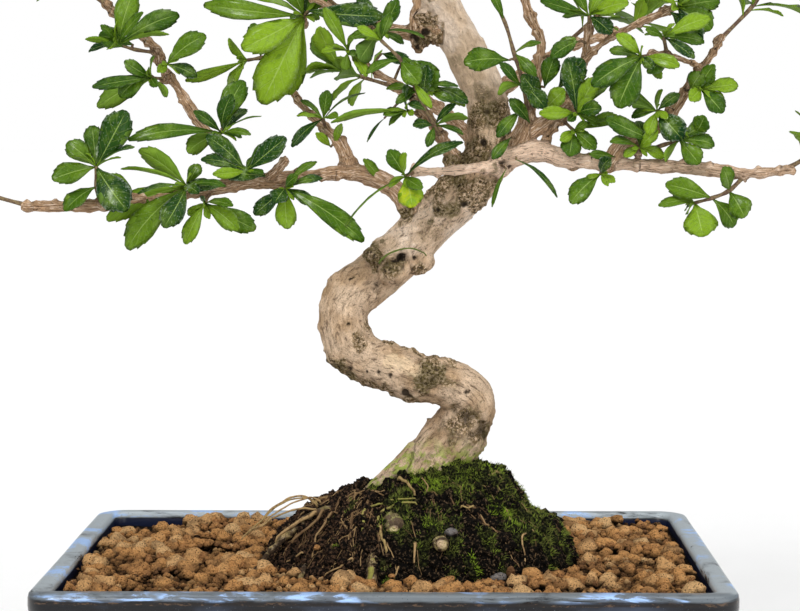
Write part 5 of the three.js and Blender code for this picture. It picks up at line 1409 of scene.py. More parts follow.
@dataclass
class Foliage:
    """Every leafy shoot: its green stem, its leaves and the small ones about its bud."""

    finish: LeafFinish
    form: LeafForm
    stem_radius: float = 1.15
    tip_radius: float = 0.7
    turn: float = 137.5
    open_below: float = 78
    open_above: float = 34
    shortest: float = 0.78
    longest: float = 1.15
    slimmest: float = 0.4
    broadest: float = 0.52
    skyward: float = 0.7
    wander: float = 14
    count: int = 7
    nodes: tuple[float, ...] = (0.0, 0.6, 1.0)
    first_seed: int = 101
    fill: int = 5
    bud_leaves: int = 3
    spare: int = 3
    spare_length: float = 10
    near: float = 1.0
    rooted: float = 0.6
    # Places along every limb, each with the limb's smallest radius
    wood: np.ndarray = field(default_factory=lambda: np.vstack([
        np.insert(Spline(points).at(np.linspace(0, 1, 60)), 3, min(point[3] for point in points), axis=1)
        for _, points in LIMBS]))

    def build(self) -> list[Object]:
        """Builds one piece for each shoot of the frame.

        Returns:
            The pieces.
        """
        material = self.finish.material()
        pieces = []
        for number, (name, (stem, listed)) in enumerate(SEEN_SHOOTS.items()):
            draw = Draw(900 + number)
            leaves = [self._listed(stem, row, draw) for row in listed]
            pieces.append(self._shoot(name, np.array(stem, float), leaves, draw, material))
        for number, (name, (stem, length)) in enumerate(GROWN_SHOOTS.items()):
            draw = Draw(self.first_seed + number)
            line, leaves = self._grown(stem, length, draw)
            pieces.append(self._shoot(name, line, leaves, draw, material))
        return pieces

    def _listed(self, stem: Stem, row: Listed, draw: Draw) -> Leaf:
        """A leaf from its row of the list.

        Args:
            stem: The shoot's stem.
            row: The leaf's row.
            draw: Where its tone comes from if the row has none.

        Returns:
            The leaf.
        """
        start, reach, width, turn = stem[int(row[0])], np.array(row[1:4], float), row[4], row[5]
        tone = row[6] if len(row) > 6 else self._chance_tone(draw())
        root = np.array(start, float)
        return Leaf(root, root + reach, width, np.array([0, -turn, 1 - abs(turn)]), tone)

    def _grown(self, stem: Stem, length: float, draw: Draw) -> tuple[np.ndarray, list[Leaf]]:
        """A shoot by rule: leaves turned round it by the golden angle, then smaller ones between.

        Args:
            stem: Its stem.
            length: The length of its leaves.
            draw: Where its small differences come from.

        Returns:
            The points of its line, and its leaves.
        """
        spline = Spline(stem)
        shares = np.array(self.nodes)
        line, headings = spline.at(shares), spline.heading(shares)
        leaves = []
        for number in range(self.count):
            share = number / (self.count - 1)
            here = 1 + round(share * (len(line) - 2) + 1e-9)
            leaves.append(self._turned(line[here], headings[here], number, share, length, 0.0, draw))
        for number in range(self.fill):
            share = (number + 0.5) / self.fill
            place = 0.35 + 0.6 * share
            root, heading = spline.at(np.array([place]))[0], spline.heading(np.array([place]))[0]
            leaves.append(self._turned(root, heading, number + 0.4, share, length * 0.72, 60.0, draw))
        return line, leaves

    def _turned(self, root: np.ndarray, heading: np.ndarray, number: float, share: float, length: float,
                lead: float, draw: Draw) -> Leaf:
        """One leaf at its turn round the stem.

        Args:
            root: Where it starts.
            heading: Which way the stem goes there.
            number: Its number, which sets its turn.
            share: How far along the shoot it is: leaves near the end open less.
            length: Its length before chance.
            lead: Degrees added to its turn.
            draw: Where its small differences come from.

        Returns:
            The leaf.
        """
        side = unit(np.cross(UP, heading))
        over = np.cross(heading, side)
        angle = math.radians(number * self.turn + lead + (draw() - 0.5) * self.wander)
        open_by = self.open_below + (self.open_above - self.open_below) * share + (draw() - 0.5) * self.wander
        reach = length * (self.shortest + (self.longest - self.shortest) * draw())
        width = reach * (self.slimmest + (self.broadest - self.slimmest) * draw())
        outward = side * math.cos(angle) + over * math.sin(angle)
        aim = heading * math.cos(math.radians(open_by)) + outward * math.sin(math.radians(open_by))
        facing = heading + UP * self.skyward
        tone = self._chance_tone(abs(math.sin(9 * number + 5 * share + length)))
        return Leaf(root, root + aim * reach, width, facing, tone)

    @staticmethod
    def _chance_tone(share: float) -> float:
        """A leaf's tone by chance: a quarter are old and dark, a fifth young and bright."""
        return float(np.interp(share, (0, 0.25, 0.26, 0.8, 0.81, 1), (0.02, 0.16, 0.4, 0.6, 0.74, 0.88)))

    def _shoot(self, name: str, line: np.ndarray, leaves: list[Leaf], draw: Draw,
               material: Material) -> Object:
        """One shoot's finished piece.

        Args:
            name: The shoot's name in the tables above.
            line: The points of its stem.
            leaves: Its leaves.
            draw: Where its small differences come from.
            material: What it is made of.

        Returns:
            The piece with its stem, its leaves and its bud.
        """
        node = f"shoot_{name}"
        solid = read_points(frame["nodes"][node].data)
        listed = name in SEEN_SHOOTS
        away = apart(self.wood[:, :3], line[0])
        nearest = self.wood[away.argmin()]
        if away.min() > self.rooted * nearest[3]:
            line = np.vstack([nearest[:3], line])
        spline = Spline(line)
        shares = np.linspace(0, 1, 5 * len(line))
        radii = np.linspace(self.stem_radius, self.tip_radius, len(shares))
        radii = radii * (1 + 0.14 * np.cos(shares * (len(line) - 1) * math.tau))
        path = spline.at(shares)
        shells = [self._green(swept(path, radii, 8)[0])]
        for leaf in leaves:
            if not listed or apart(solid, leaf.tip).min() < self.near:
                start = leaf.root + unit(leaf.tip - leaf.root) * self.tip_radius * 0.6
                shells.append(self.form.shell(replace(leaf, root=start), draw))
        for root, reach, width, turn, tone in SINGLE_LEAVES.get(name, []):
            start = np.array(root, float)
            shells.append(self._stalk(start, np.vstack([self.wood[:, :3], path])))
            single = Leaf(start, start + np.array(reach), width, np.array([0, -turn, 1 - turn]), tone)
            shells.append(self.form.shell(single, draw))
        heading = spline.heading(np.array([1.0]))[0]
        for number in range(self.spare if listed else 0):
            length = self.spare_length * (0.7 + 0.6 * draw())
            leaf = self._turned(line[-1], heading, number + 0.3, 0.3, length, 20.0, draw)
            shells.append(self.form.shell(leaf, draw))
        for number in range(self.bud_leaves):
            leaf = self._turned(line[-1], heading, number, 0.75, 5 + 3 * draw(), 40.0, draw)
            shells.append(self.form.shell(replace(leaf, width=leaf.width * 0.8, tone=0.75), draw))
        return dress(Shell.joined(shells), f"{node}_leaves", material, "leaf", [node])

    def _stalk(self, start: np.ndarray, carriers: np.ndarray) -> Shell:
        """The thin stalk that carries a single leaf.

        Args:
            start: Where the leaf starts.
            carriers: Points of the wood, of which the nearest one holds the stalk.

        Returns:
            The stalk's shell.
        """
        foot = carriers[apart(carriers, start).argmin()]
        shares = np.linspace(0, 1, 5)
        line = foot + (start - foot) * shares[:, None] + UP * (0.6 * np.sin(shares * math.pi))[:, None]
        return self._green(swept(line, np.linspace(self.tip_radius, self.tip_radius * 0.7, 5), 6)[0])

    @staticmethod
    def _green(shell: Shell) -> Shell:
        """Marks a stem as wood for the leaf material.

        Args:
            shell: The stem's shell.

        Returns:
            The same shell with its values.
        """
        count = len(shell.points)
        shell.values = {"blade": np.zeros((count, 3)), "skin": np.ones(count), "wood": np.ones(count)}
        return shell


@dataclass(frozen=True)
class GlazeFinish:
    """Dark navy glaze, pale and streaked where it runs thin over the rim, with painted light on the rim's
    upper faces and a painted shadow line under the rim.
    """

    body: Colour = srgb(9, 10, 15)
    navy: Colour = srgb(18, 26, 52)
    blue: Colour = srgb(76, 88, 112)
    # crest: the rim's upper faces, partly thin glaze and partly painted light
    rim: Colour = srgb(104, 112, 118)
    crest: Colour = srgb(176, 186, 192)
    pale: Colour = srgb(164, 198, 246)
    broken: Colour = srgb(112, 86, 64)
    # line: the painted shadow under the rim
    line: Colour = srgb(26, 20, 18)
    rim_height: float = 78.2
    edge_height: float = 76.6

    def material(self) -> Material:
        """Builds the glaze by height on the pot and by streaks round it.

        Returns:
            The material.
        """
        paint = Paint("glaze", {"Specular IOR Level": 0.3, "Coat Weight": 0.25, "Coat Roughness": 0.1})
        across, deep, height = paint.parts(paint.place())
        within = across.math("ABSOLUTE").above(132.4, 131.2) * deep.math("ABSOLUTE").above(95.4, 94.2)
        lifted = height + within * 2
        within = within * height.above(77.6, 76.8)
        cloud, torn = paint.noise((0.022, 0.022, 0.06), 4, 0.6), paint.noise((0.3, 0.3, 0.9), 4, 0.7)
        streak, fleck = paint.noise((0.04, 0.04, 0.3), 6, 0.66, 0.6), paint.cells(0.8)
        # The rim's upper faces turn paler, partly thin glaze and partly painted light from above, little on
        # the front
        pale_top_and_painted_light = lifted.above(78.8, 79.7) * streak.above(0.3, 0.5) * (0.1 + 0.8 * deep.above(-97, -92))
        top = (height + (streak - 0.5) * 2.0).above(self.edge_height, self.rim_height)
        # edge: the band under the rim, with a painted shadow line and the brown of broken glaze
        edge = (height + (streak - 0.5) * 1.2).above(75.4, 76.2) * (1 - top) * (1 - within)
        body = paint.layers(
            self.body,
            (cloud.above(0.45, 0.75) * 0.5, self.blue),
            (fleck.above(0.22, 0.08) * streak.above(0.45, 0.6) * 0.7, self.rim))
        rim = paint.layers(
            self.body,
            (streak.above(0.3, 0.52), self.rim),
            (cloud.above(0.4, 0.62) * streak.above(0.4, 0.5) * 0.5, self.blue),
            (pale_top_and_painted_light, self.crest),
            (streak.above(0.5, 0.58) * cloud.above(0.44, 0.52), self.pale),
            (fleck.above(0.2, 0.06) * 0.7, self.body))
        colour = paint.layers(
            body, (top, rim), (within, self.navy), (edge * 0.9, self.line),
            (edge * torn.above(0.54, 0.64) * 0.6, self.broken))
        return paint.finish(colour, 0.16 + 0.3 * streak, streak * 0.6 + cloud, 0.4)


@dataclass
class Pot:
    """The glazed rectangular pot with its rim, feet and drainage holes."""

    finish: GlazeFinish
    width: float = 278
    depth: float = 204
    height: float = 80
    corner: float = 12
    inner_corner: float = 6
    corner_steps: int = 8
    side_step: float = 7
    wave: float = 0.35
    hole_radius: float = 8
    hole_place: float = 62
    foot_height: float = 8
    foot_places: Point = (96, 66, 0)
    foot_size: Point = (38, 24, 2)
    foot_corner: float = 3
    # Heights, and how far inside the outermost edge the wall is there
    outside: tuple[tuple[float, float], ...] = (
        (8, 18), (9.5, 16.2), (12, 15), (26, 12.2), (40, 9.5), (54, 6.8), (66, 4.5), (68.6, 3.9), (70.4, 1.4),
        (72, 0.2), (74, 0), (77, 0), (78.6, 0.3), (79.6, 1.2), (80, 2.6))
    inside: tuple[tuple[float, float], ...] = (
        (80, 5), (80, 7.2), (79.5, 8.3), (78.3, 9), (74, 9), (71, 9), (67, 10), (64, 11), (48, 14.7),
        (32, 18.3), (20, 21), (16.6, 22.5), (16, 25))

    def build(self) -> Object:
        """Builds and dresses the pot.

        Returns:
            The finished piece.
        """
        noise = Lattice(3)
        rings = [self.ring(height, inset, self.corner - inset * 0.35) for height, inset in self.outside]
        rings += [self.ring(height, inset, self.inner_corner) for height, inset in self.inside]
        shell = stacked(np.array(rings))
        sway = noise.at(shell.points / [38, 38, 30], 2) * self.wave
        inward = unit(shell.points * [1, 1, 0])
        above = np.clip((shell.points[:, 2] - 12) / 20, 0, 1)
        shell.points = shell.points + inward * ((sway - self.wave * 0.6) * above)[:, None]
        piece = place(shell.mesh("pot_glazed", smooth=False), "pot_glazed")
        self._cut(piece, "UNION", Shell.joined(self._foot(x, y) for x in (-1, 1) for y in (-1, 1)))
        self._cut(piece, "DIFFERENCE", Shell.joined(self._hole(side) for side in (-1, 1)))
        piece.data.materials.clear()
        piece.data.materials.append(self.finish.material())
        piece.data.shade_smooth()
        piece.data.set_sharp_from_angle(angle=math.radians(50))
        return hang(piece, "glaze", ["pot"])

    def ring(self, height: float, inset: float, radius: float) -> np.ndarray:
        """The wall's points at a height.

        Args:
            height: The height.
            inset: How far inside the outermost edge.
            radius: The corners' radius.

        Returns:
            Rows of x, y and z.
        """
        half = (self.width / 2 - inset, self.depth / 2 - inset)
        return rounded(half, radius, height, self.corner_steps,
                       (int(self.width / self.side_step), int(self.depth / self.side_step)))

    def _foot(self, x: int, y: int) -> Shell:
        """One corner foot, drawn in a little towards the ground.

        Args:
            x: 1 on the right, -1 on the left.
            y: 1 at the back, -1 at the front.

        Returns:
            The shell.
        """
        long, wide, taper = self.foot_size
        steps = ((0, -taper - 0.8), (0.8, -taper), (self.foot_height, 0), (self.foot_height + 3, 0))
        rings = [rounded((long / 2 + grow, wide / 2 + grow), self.foot_corner, height, 4)
                 for height, grow in steps]
        return stacked(np.array(rings) + [x * self.foot_places[0], y * self.foot_places[1], 0])

    def _hole(self, side: int) -> Shell:
        """The room of one drainage hole."""
        line = np.array([(side * self.hole_place, 0, height) for height in (2.0, 12.0, 24.0)])
        return swept(line, np.full(3, self.hole_radius), 40)[0]

    @staticmethod
    def _cut(piece: Object, operation: str, shell: Shell) -> None:
        """Joins a shape to a piece, or cuts it out.

        Args:
            piece: The piece.
            operation: UNION or DIFFERENCE.
            shell: The shape.
        """
        tool = place(shell.mesh("tool", smooth=False), "tool")
        change = piece.modifiers.new("cut", "BOOLEAN")
        change.operation, change.object, change.solver = operation, tool, "EXACT"
        settled(piece)
        bpy.data.objects.remove(tool)


@dataclass(frozen=True)
class ClayFinish:
    """Fired clay granules: tan to orange, each with its own tone, rough and pitted, with painted shade under
    and between them and pale specks that are partly painted highlight.
    """

    tan: Colour = srgb(230, 170, 106)
    orange: Colour = srgb(178, 126, 80)
    brown: Colour = srgb(104, 76, 54)
    # dust: pale clay at the top of the tones, also the colour of the specks that are partly painted highlight
    dust: Colour = srgb(246, 200, 142)
    painted_gap_shade: Colour = srgb(22, 14, 8)
    grey: Colour = srgb(138, 134, 132)

    def material(self) -> Material:
        """Builds the clay from the granule's own tone.

        Returns:
            The material.
        """
        paint = Paint("fired_clay", {"Specular IOR Level": 0.08})
        tone = paint.value("tone")
        patch, grit, pit = paint.noise(0.11, 3, 0.5), paint.noise(1.3, 5, 0.75), paint.cells(0.85)
        height = paint.parts(paint.place())[2]
        below = paint.parts(paint.wire(paint.node("ShaderNodeNewGeometry", {}, {}), "Normal"))[2]
        stops = [(0.0, self.painted_gap_shade), (0.14, self.brown), (0.45, self.orange), (0.9, self.tan), (1.0, self.dust)]
        colour = paint.layers(
            paint.ramp(tone, stops),
            (tone.above(1.05, 1.15), self.grey),
            # pale specks: partly dust, partly painted highlight
            (grit.above(0.54, 0.74) * 0.4, self.dust),
            (grit.above(0.48, 0.36) * 0.8, self.brown),
            (patch.above(0.5, 0.64) * 0.55, self.brown),
            # dark pits: partly the clay's pores, partly painted shade in them
            (pit.above(0.32, 0.14) * 0.85, self.painted_gap_shade),
            # painted shade: faces that turn downwards
            (below.above(0.25, -0.5) * 0.92, self.painted_gap_shade),
            # painted shade: the lower a granule lies between the others, the darker it is
            (height.above(79.2, 75.6) * 0.95, self.painted_gap_shade))
        return paint.finish(colour, 0.97, grit + pit * 0.8, 1.6)


@dataclass
class Scatter:
    """Small shapes strewn over a surface by a node tree, each turned and sized by chance."""

    name: str
    shapes: list[Shell]
    spacing: float
    smallest: float
    largest: float
    seed: int
    upright: bool = False
    skew: float = 2.2

    def build(self, ground: Shell, share: str, material: Material) -> Object:
        """Strews the shapes.

        Args:
            ground: The surface.
            share: The surface's attribute that says how many of them stand there, from 0 to 1.
            material: What they are made of.

        Returns:
            One piece with all of them.
        """
        store = bpy.data.collections.new(f"{self.name}_shapes")
        for number, shell in enumerate(self.shapes):
            name = f"{self.name}_{number}"
            store.objects.link(bpy.data.objects.new(name, shell.mesh(name)))
        piece = place(ground.mesh(self.name), self.name)
        tree = self._tree(share)
        change = piece.modifiers.new("strewn", "NODES")
        change.node_group = tree
        inputs = {item.name: item.identifier for item in tree.interface.items_tree if item.in_out == "INPUT"}
        values = {"Spacing": self.spacing * MM, "Smallest": self.smallest, "Largest": self.largest,
                  "Seed": self.seed, "Shapes": store, "Finish": material}
        for key, value in values.items():
            change[inputs[key]] = value
        settled(piece)
        for item in list(store.objects):
            bpy.data.objects.remove(item)
        bpy.data.collections.remove(store)
        bpy.data.node_groups.remove(tree)
        return piece

    def _tree(self, share: str) -> NodeTree:
        """Builds the node tree with its named inputs.

        Args:
            share: The ground's attribute for how many shapes stand there.

        Returns:
            The tree.
        """
        tree = bpy.data.node_groups.new(self.name, "GeometryNodeTree")
        kinds = {"Geometry": "Geometry", "Spacing": "Float", "Smallest": "Float", "Largest": "Float",
                 "Seed": "Int", "Shapes": "Collection", "Finish": "Material"}
        for key, kind in kinds.items():
            tree.interface.new_socket(key, in_out="INPUT", socket_type=f"NodeSocket{kind}")
        tree.interface.new_socket("Geometry", in_out="OUTPUT", socket_type="NodeSocketGeometry")
        start = add_node(tree, "NodeGroupInput", {}, {}).outputs
        density = add_node(tree, "GeometryNodeInputNamedAttribute", {"data_type": "FLOAT"}, {"Name": share})
        points = add_node(tree, "GeometryNodeDistributePointsOnFaces", {"distribute_method": "POISSON"}, {
            "Mesh": start["Geometry"], "Distance Min": start["Spacing"], "Density Max": 4e6,
            "Density Factor": density.outputs["Attribute"], "Seed": start["Seed"]})
        turn = add_node(tree, "FunctionNodeRandomValue", {"data_type": "FLOAT_VECTOR"}, {
            "Max": (0, 0, math.tau) if self.upright else (math.tau,) * 3, "Seed": start["Seed"]})
        chance = add_node(tree, "FunctionNodeRandomValue", {"data_type": "FLOAT"}, {"Seed": start["Seed"]})
        few = add_node(tree, "ShaderNodeMath", {"operation": "POWER"}, {0: chance.outputs[1], 1: self.skew})
        scale = add_node(tree, "ShaderNodeMapRange", {}, {
            "Value": few.outputs[0], "To Min": start["Smallest"], "To Max": start["Largest"]})
        source = add_node(tree, "GeometryNodeCollectionInfo", {}, {
            "Collection": start["Shapes"], "Separate Children": True, "Reset Children": True})
        sockets: dict[Any, Any] = {"Points": points.outputs["Points"], "Instance": source.outputs[0],
                                   "Pick Instance": True, "Scale": scale.outputs[0]}
        if self.upright:
            sockets["Rotation"] = points.outputs["Rotation"]
        copies = add_node(tree, "GeometryNodeInstanceOnPoints", {}, sockets)
        turned = add_node(tree, "GeometryNodeRotateInstances", {}, {
            "Instances": copies.outputs[0], "Rotation": turn.outputs[0]})
        tone = add_node(tree, "FunctionNodeRandomValue", {"data_type": "FLOAT"}, {"Seed": start["Seed"]})
        settings = {"data_type": "FLOAT", "domain": "INSTANCE"}
        toned = add_node(tree, "GeometryNodeStoreNamedAttribute", settings, {
            "Geometry": turned.outputs[0], "Name": "tone", "Value": tone.outputs[1]})
        real = add_node(tree, "GeometryNodeRealizeInstances", {}, {0: toned.outputs[0]})
        dressed = add_node(tree, "GeometryNodeSetMaterial", {}, {
            "Geometry": real.outputs[0], "Material": start["Finish"]})
        add_node(tree, "NodeGroupOutput", {}, {0: dressed.outputs[0]})
        return tree


def pebbles(count: int, level: int, rough: float, seed: int) -> list[Shell]:
    """Irregular round lumps about one millimetre in radius.

    Args:
        count: How many different ones.
        level: How finely they are divided.
        rough: How far their points stand in and out.
        seed: What their shapes come from.

    Returns:
        Their shells.
    """
    made = bmesh.new()
    bmesh.ops.create_icosphere(made, subdivisions=level, radius=1)
    points = np.array([vertex.co for vertex in made.verts])
    faces = [tuple(vertex.index for vertex in face.verts) for face in made.faces]
    made.free()
    shells = []
    for number in range(count):
        noise = Lattice(seed + number)
        stretch = 1 + 0.2 * noise.at(np.array([[5.5, 1, 1], [1, 5.5, 1], [1, 1, 5.5]]))
        relief = 1 + rough * noise.at(points * 1.3 + 3, 2)
        shells.append(Shell(points * relief[:, None] * stretch, faces))
    return shells


# Bright tufts of moss: place and reach
MOSS_SPOTS: list[tuple[Point, float]] = [
    ((17, -50, 99), 3.4), ((46, -33, 102), 4.6), ((50, -31, 101), 4.6), ((52, -34, 97), 4.2),
    ((35, -57, 86), 3.4), ((37, -58, 81), 3.4), ((0, -63, 79), 2.6), ((-38, -20, 100), 2.6),
    ((-20, -49, 90), 2.2), ((-51, -20, 84), 2.4), ((20, -24, 113), 5), ((12, -20, 113), 4),
    ((46, -10, 115), 5), ((34, -18, 112), 5), ((10, 36, 102), 6), ((40, 30, 98), 6), ((-20, 24, 98), 5),
    ((60, 6, 98), 4),
]

# Roots on the peat that the photo shows: radius, tone, and places
FINE_ROOTS: list[tuple[float, float, list[Point]]] = [
    (0.55, 0.75, [(-29, -20, 102), (-36, -21, 106), (-45, -23, 103), (-50, -24, 99), (-55, -25, 94),
        (-60, -27, 89)]),
    (0.45, 0.8, [(-29, -20, 103), (-35, -21, 105), (-44, -23, 103), (-49, -24, 99), (-53, -25, 96),
        (-59, -27, 90)]),
    (0.5, 0.7, [(-28, -20, 104), (-32, -21, 105), (-39, -23, 103), (-46, -24, 99), (-52, -25, 95),
        (-57, -27, 92)]),
    (0.6, 0.75, [(-29, -20, 100), (-35, -22, 101), (-42, -23, 99), (-49, -25, 96), (-58, -26, 91)]),
    (1.1, 0.6, [(-29, -23, 100), (-34, -25, 97), (-41, -26, 93), (-46, -26, 89)]),
    (0.8, 0.35, [(-26, -26, 101), (-29, -30, 97), (-35, -31, 92), (-39, -31, 89)]),
    (0.65, 0.4, [(-22, -30, 101), (-25, -35, 97), (-28, -38, 93), (-29, -42, 89), (-30, -45, 85)]),
    (0.7, 0.35, [(-5, -27, 109), (-8, -35, 105), (-12, -38, 102), (-18, -35, 101), (-22, -30, 101)]),
    (0.5, 0.3, [(-19, -22, 106), (-20, -27, 104), (-21, -31, 102)]),
    (0.6, 0.6, [(-13, -56, 85), (-19, -56, 82), (-24, -54, 79)]),
    (0.4, 0.6, [(-14, -55, 86), (-18, -55, 84), (-22, -54, 81)]),
    (0.5, 0.5, [(-34, -40, 86), (-38, -38, 83), (-41, -36, 81)]),
    (0.9, 0.8, [(5, -18, 114), (10, -26, 111), (12, -31, 109)]),
    (0.6, 0.95, [(-7, -37, 104), (-3, -36, 105), (1, -36, 106), (6, -35, 107), (13, -35, 107)]),
    (0.7, 0.9, [(-2, -42, 102), (2, -39, 104), (7, -38, 106), (13, -38, 106)]),
    (0.9, 0.95, [(-8, -39, 103), (-9, -43, 100), (-8, -47, 99)]),
    (0.7, 0.9, [(-1, -42, 102), (-3, -47, 99), (-1, -51, 97)]),
    (1.0, 0.8, [(-2, -49, 99), (-1, -53, 94), (1, -58, 89)]),
    (2.1, 1.0, [(-4, -58, 86), (-5, -61, 82), (-6, -63, 77)]),
    (1.2, 0.95, [(-9, -44, 98), (-9, -48, 95), (-10, -52, 91)]),
    (0.55, 1.4, [(-3, -13, 204), (3, -13.6, 208.4), (10, -12, 209.8), (17, -10, 207.4)]),
    (0.5, 0.7, [(61, -33, 94), (57, -40, 93), (56, -43, 90), (57, -44, 86), (57, -46, 83)]),
    (0.35, 0.7, [(15, -19, 114), (17, -26, 112), (17, -31, 110)]),
    (0.6, 0.8, [(37, -36, 105), (34, -38, 104), (31, -38, 105)]),
    (0.7, 0.65, [(12, -56, 93), (12, -58, 89), (12, -60, 86)]),
    (0.45, 0.5, [(35, -58, 83), (31, -59, 83), (29, -60, 82)]),
    (0.5, 0.6, [(6, -61, 84), (5, -63, 80), (7, -64, 77)]),
]

# Large granules and two grey stones: centre, size and tone
STONES: list[tuple[Point, Point, float]] = [
    ((27, -52, 96), (2.8, 2.0, 1.8), 1.3), ((46, -57, 78), (3.2, 2.4, 2.2), 1.3),
    ((41, -62, 76), (4.9, 4.2, 2.9), 0.9), ((54, -57, 76.5), (4.4, 3.8, 3.2), 0.85),
    ((-12, -63, 77), (4.7, 4.2, 3.4), 0.7), ((-37, -46, 77.5), (3.5, 3.0, 2.7), 0.95),
    ((-53, -48, 76), (3.3, 2.9, 2.4), 0.95), ((-28, -44, 88), (1.5, 1.3, 1.3), 0.7),
    ((3, -63, 80), (1.3, 1.1, 1.3), 0.7), ((26, -64, 78.5), (2.4, 2, 2), 0.7),
    ((51, -56, 80), (1.6, 1.2, 2.6), 0.2), ((-90, -30, 77.5), (4.2, 3.4, 2.8), 0.9),
    ((96, 20, 77.5), (4.4, 3.6, 2.9), 0.9), ((70, -70, 77), (4, 3.4, 2.8), 0.9),
    ((-70, 60, 77), (4, 3.6, 2.6), 0.95), ((30, 72, 77), (4.2, 3.2, 2.6), 0.9),
]


@dataclass
class Mound:
    """The raised ball of peat with its moss, fine roots and crumbs."""

    finish: "PeatFinish"
    centre: tuple[float, float] = (10, -4)
    right: float = 72
    left: float = 66
    front: float = 61
    back: float = 52
    foot: float = 75
    slimmer: float = 0.78
    ground: float = 16.3
    spokes: int = 360
    rings: int = 70
    seed: int = 7
    # The height at shares of the way out, to the right, to the left, and to the front and back
    right_slope: tuple[tuple[float, float], ...] = (
        (0, 118), (0.39, 117.5), (0.56, 114.5), (0.66, 106), (0.71, 99), (0.8, 96), (0.875, 93), (0.94, 86),
        (1, 73.5))
    left_slope: tuple[tuple[float, float], ...] = (
        (0, 111), (0.15, 109), (0.31, 106.4), (0.455, 105), (0.573, 102), (0.69, 96.5), (0.845, 87.5),
        (1, 73.5))
    front_slope: tuple[tuple[float, float], ...] = (
        (0, 117), (0.2, 115), (0.5, 107.5), (0.75, 99), (0.86, 92), (0.95, 83), (1, 73.5))

    def reach(self, angle: np.ndarray) -> np.ndarray:
        """How far the mound goes from its centre in each direction.

        Args:
            angle: The directions.

        Returns:
            One distance for each.
        """
        x, y = np.cos(angle), np.sin(angle)
        wide, deep = np.where(x > 0, self.right, self.left), np.where(y > 0, self.back, self.front)
        return 1 / np.hypot(x / wide, y / deep)

    def share(self, x: np.ndarray, y: np.ndarray) -> np.ndarray:
        """How far out each place is, from 0 in the middle to 1 at the foot.

        Args:
            x: The places' x.
            y: The places' y.

        Returns:
            One share for each place.
        """
        dx, dy = x - self.centre[0], y - self.centre[1]
        return np.hypot(dx, dy) / self.reach(np.arctan2(dy, dx))

    def level(self, x: np.ndarray, y: np.ndarray) -> np.ndarray:
        """The height of the mound's surface with all its lumps.

        Args:
            x: The places' x.
            y: The places' y.

        Returns:
            One height for each place.
        """
        share = self.share(x, y)
        angle = np.arctan2(y - self.centre[1], x - self.centre[0])
        flat = np.stack([x, y, np.zeros_like(x)], axis=1)
        noise = Lattice(self.seed)
        lumps = 2.6 * noise.at(flat / 14) + 2.0 * noise.at(flat / 6 + 50) + 1.3 * noise.at(flat / 2.6 + 90)
        hollow = np.clip(noise.at(flat / 5 + 30, 2) - 0.5, 0, 1) * 7
        right, left, front = (np.interp(share, *zip(*slope)) for slope in (
            self.right_slope, self.left_slope, self.front_slope))
        across = np.cos(angle) ** 2
        rise = across * np.where(np.cos(angle) > 0, right, left) + (1 - across) * front
        return rise - 0.6 + (lumps - hollow) * np.clip(1.5 - share, 0.35, 1)

    def surface(self) -> Shell:
        """The mound's closed shell, with how mossy each place is.

        Returns:
            The shell.
        """
        angles = np.arange(self.spokes) / self.spokes * math.tau
        shares = np.linspace(1, 0.02, self.rings)
        reach = shares[:, None] * self.reach(angles)[None]
        x = (self.centre[0] + reach * np.cos(angles)).ravel()
        y = (self.centre[1] + reach * np.sin(angles)).ravel()
        top = np.stack([x, y, self.level(x, y)], axis=1)
        base = top[:self.spokes] * [1, 1, 0] + [0, 0, self.ground]
        rings = np.vstack([base, top]).reshape(self.rings + 1, self.spokes, 3)
        shell = stacked(rings, [[*self.centre, self.ground], [*self.centre, top[-1, 2] + 0.4]])
        points, faces = shell.points, shell.faces
        return Shell(points, faces, {"moss": self.mossy(points), "tone": np.zeros(len(points))})

    def mossy(self, points: np.ndarray) -> np.ndarray:
        """How much moss grows at each point, from 0 to 1: most on the right and high up.

        Args:
            points: The points.

        Returns:
            One value for each point.
        """
        noise = Lattice(self.seed + 1)
        patch = noise.at(points / 7, 3) * 0.9 + np.clip((points[:, 0] - 4) / 50, -0.8, 0.4)
        patch = np.clip(patch + (points[:, 2] - 98) / 60 + 0.24, 0, 1)
        return np.maximum(patch, self.spots(points)) * (points[:, 2] > self.foot - 3)

    @staticmethod
    def spots(points: np.ndarray) -> np.ndarray:
        """How near each point is to a bright tuft of moss that the photo shows.

        Args:
            points: The points.

        Returns:
            One value from 0 to 1 for each point.
        """
        near = np.zeros(len(points))
        for centre, reach in MOSS_SPOTS:
            near = np.maximum(near, np.exp(-(apart(points, centre) / reach) ** 2))
        return near

    def build(self) -> list[Object]:
        """Builds and dresses the mound and what lies on it.

        Returns:
            The finished pieces.
        """
        material, slot, crest = self.finish.material(), "peat_and_moss", self.surface()
        moss = crest.values["moss"]
        exposed = (crest.points[:, 2] > self.foot - 1).astype(float)
        pieces = [dress(crest, "root_mound_peat", material, slot, ["root_mound"])]
        crest.values["open"] = exposed * (1 - 0.3 * moss)
        crumbs = Scatter("peat_crumbs", pebbles(6, 1, 0.5, 60), 1.6, 0.4, 2.5, 11, skew=2.6)
        pieces.append(hang(crumbs.build(crest, "open", material), slot))
        crest.values["open"] = exposed * np.clip(moss * 1.2, 0, 1) ** 2
        strewn = Scatter("moss", [self._tuft(number) for number in range(4)], 1.2, 0.7, 1.9, 12, True, 1.2)
        tufts = strewn.build(crest, "open", self.finish.moss_material())
        write_values(tufts.data, "bright", self.spots(read_points(tufts.data)))
        pieces.append(hang(tufts, slot))
        roots = Shell.joined([*self._listed_roots(), *self._roots()])
        pieces.append(dress(roots, "fine_roots", self.finish.root_material(), "bark"))
        return pieces

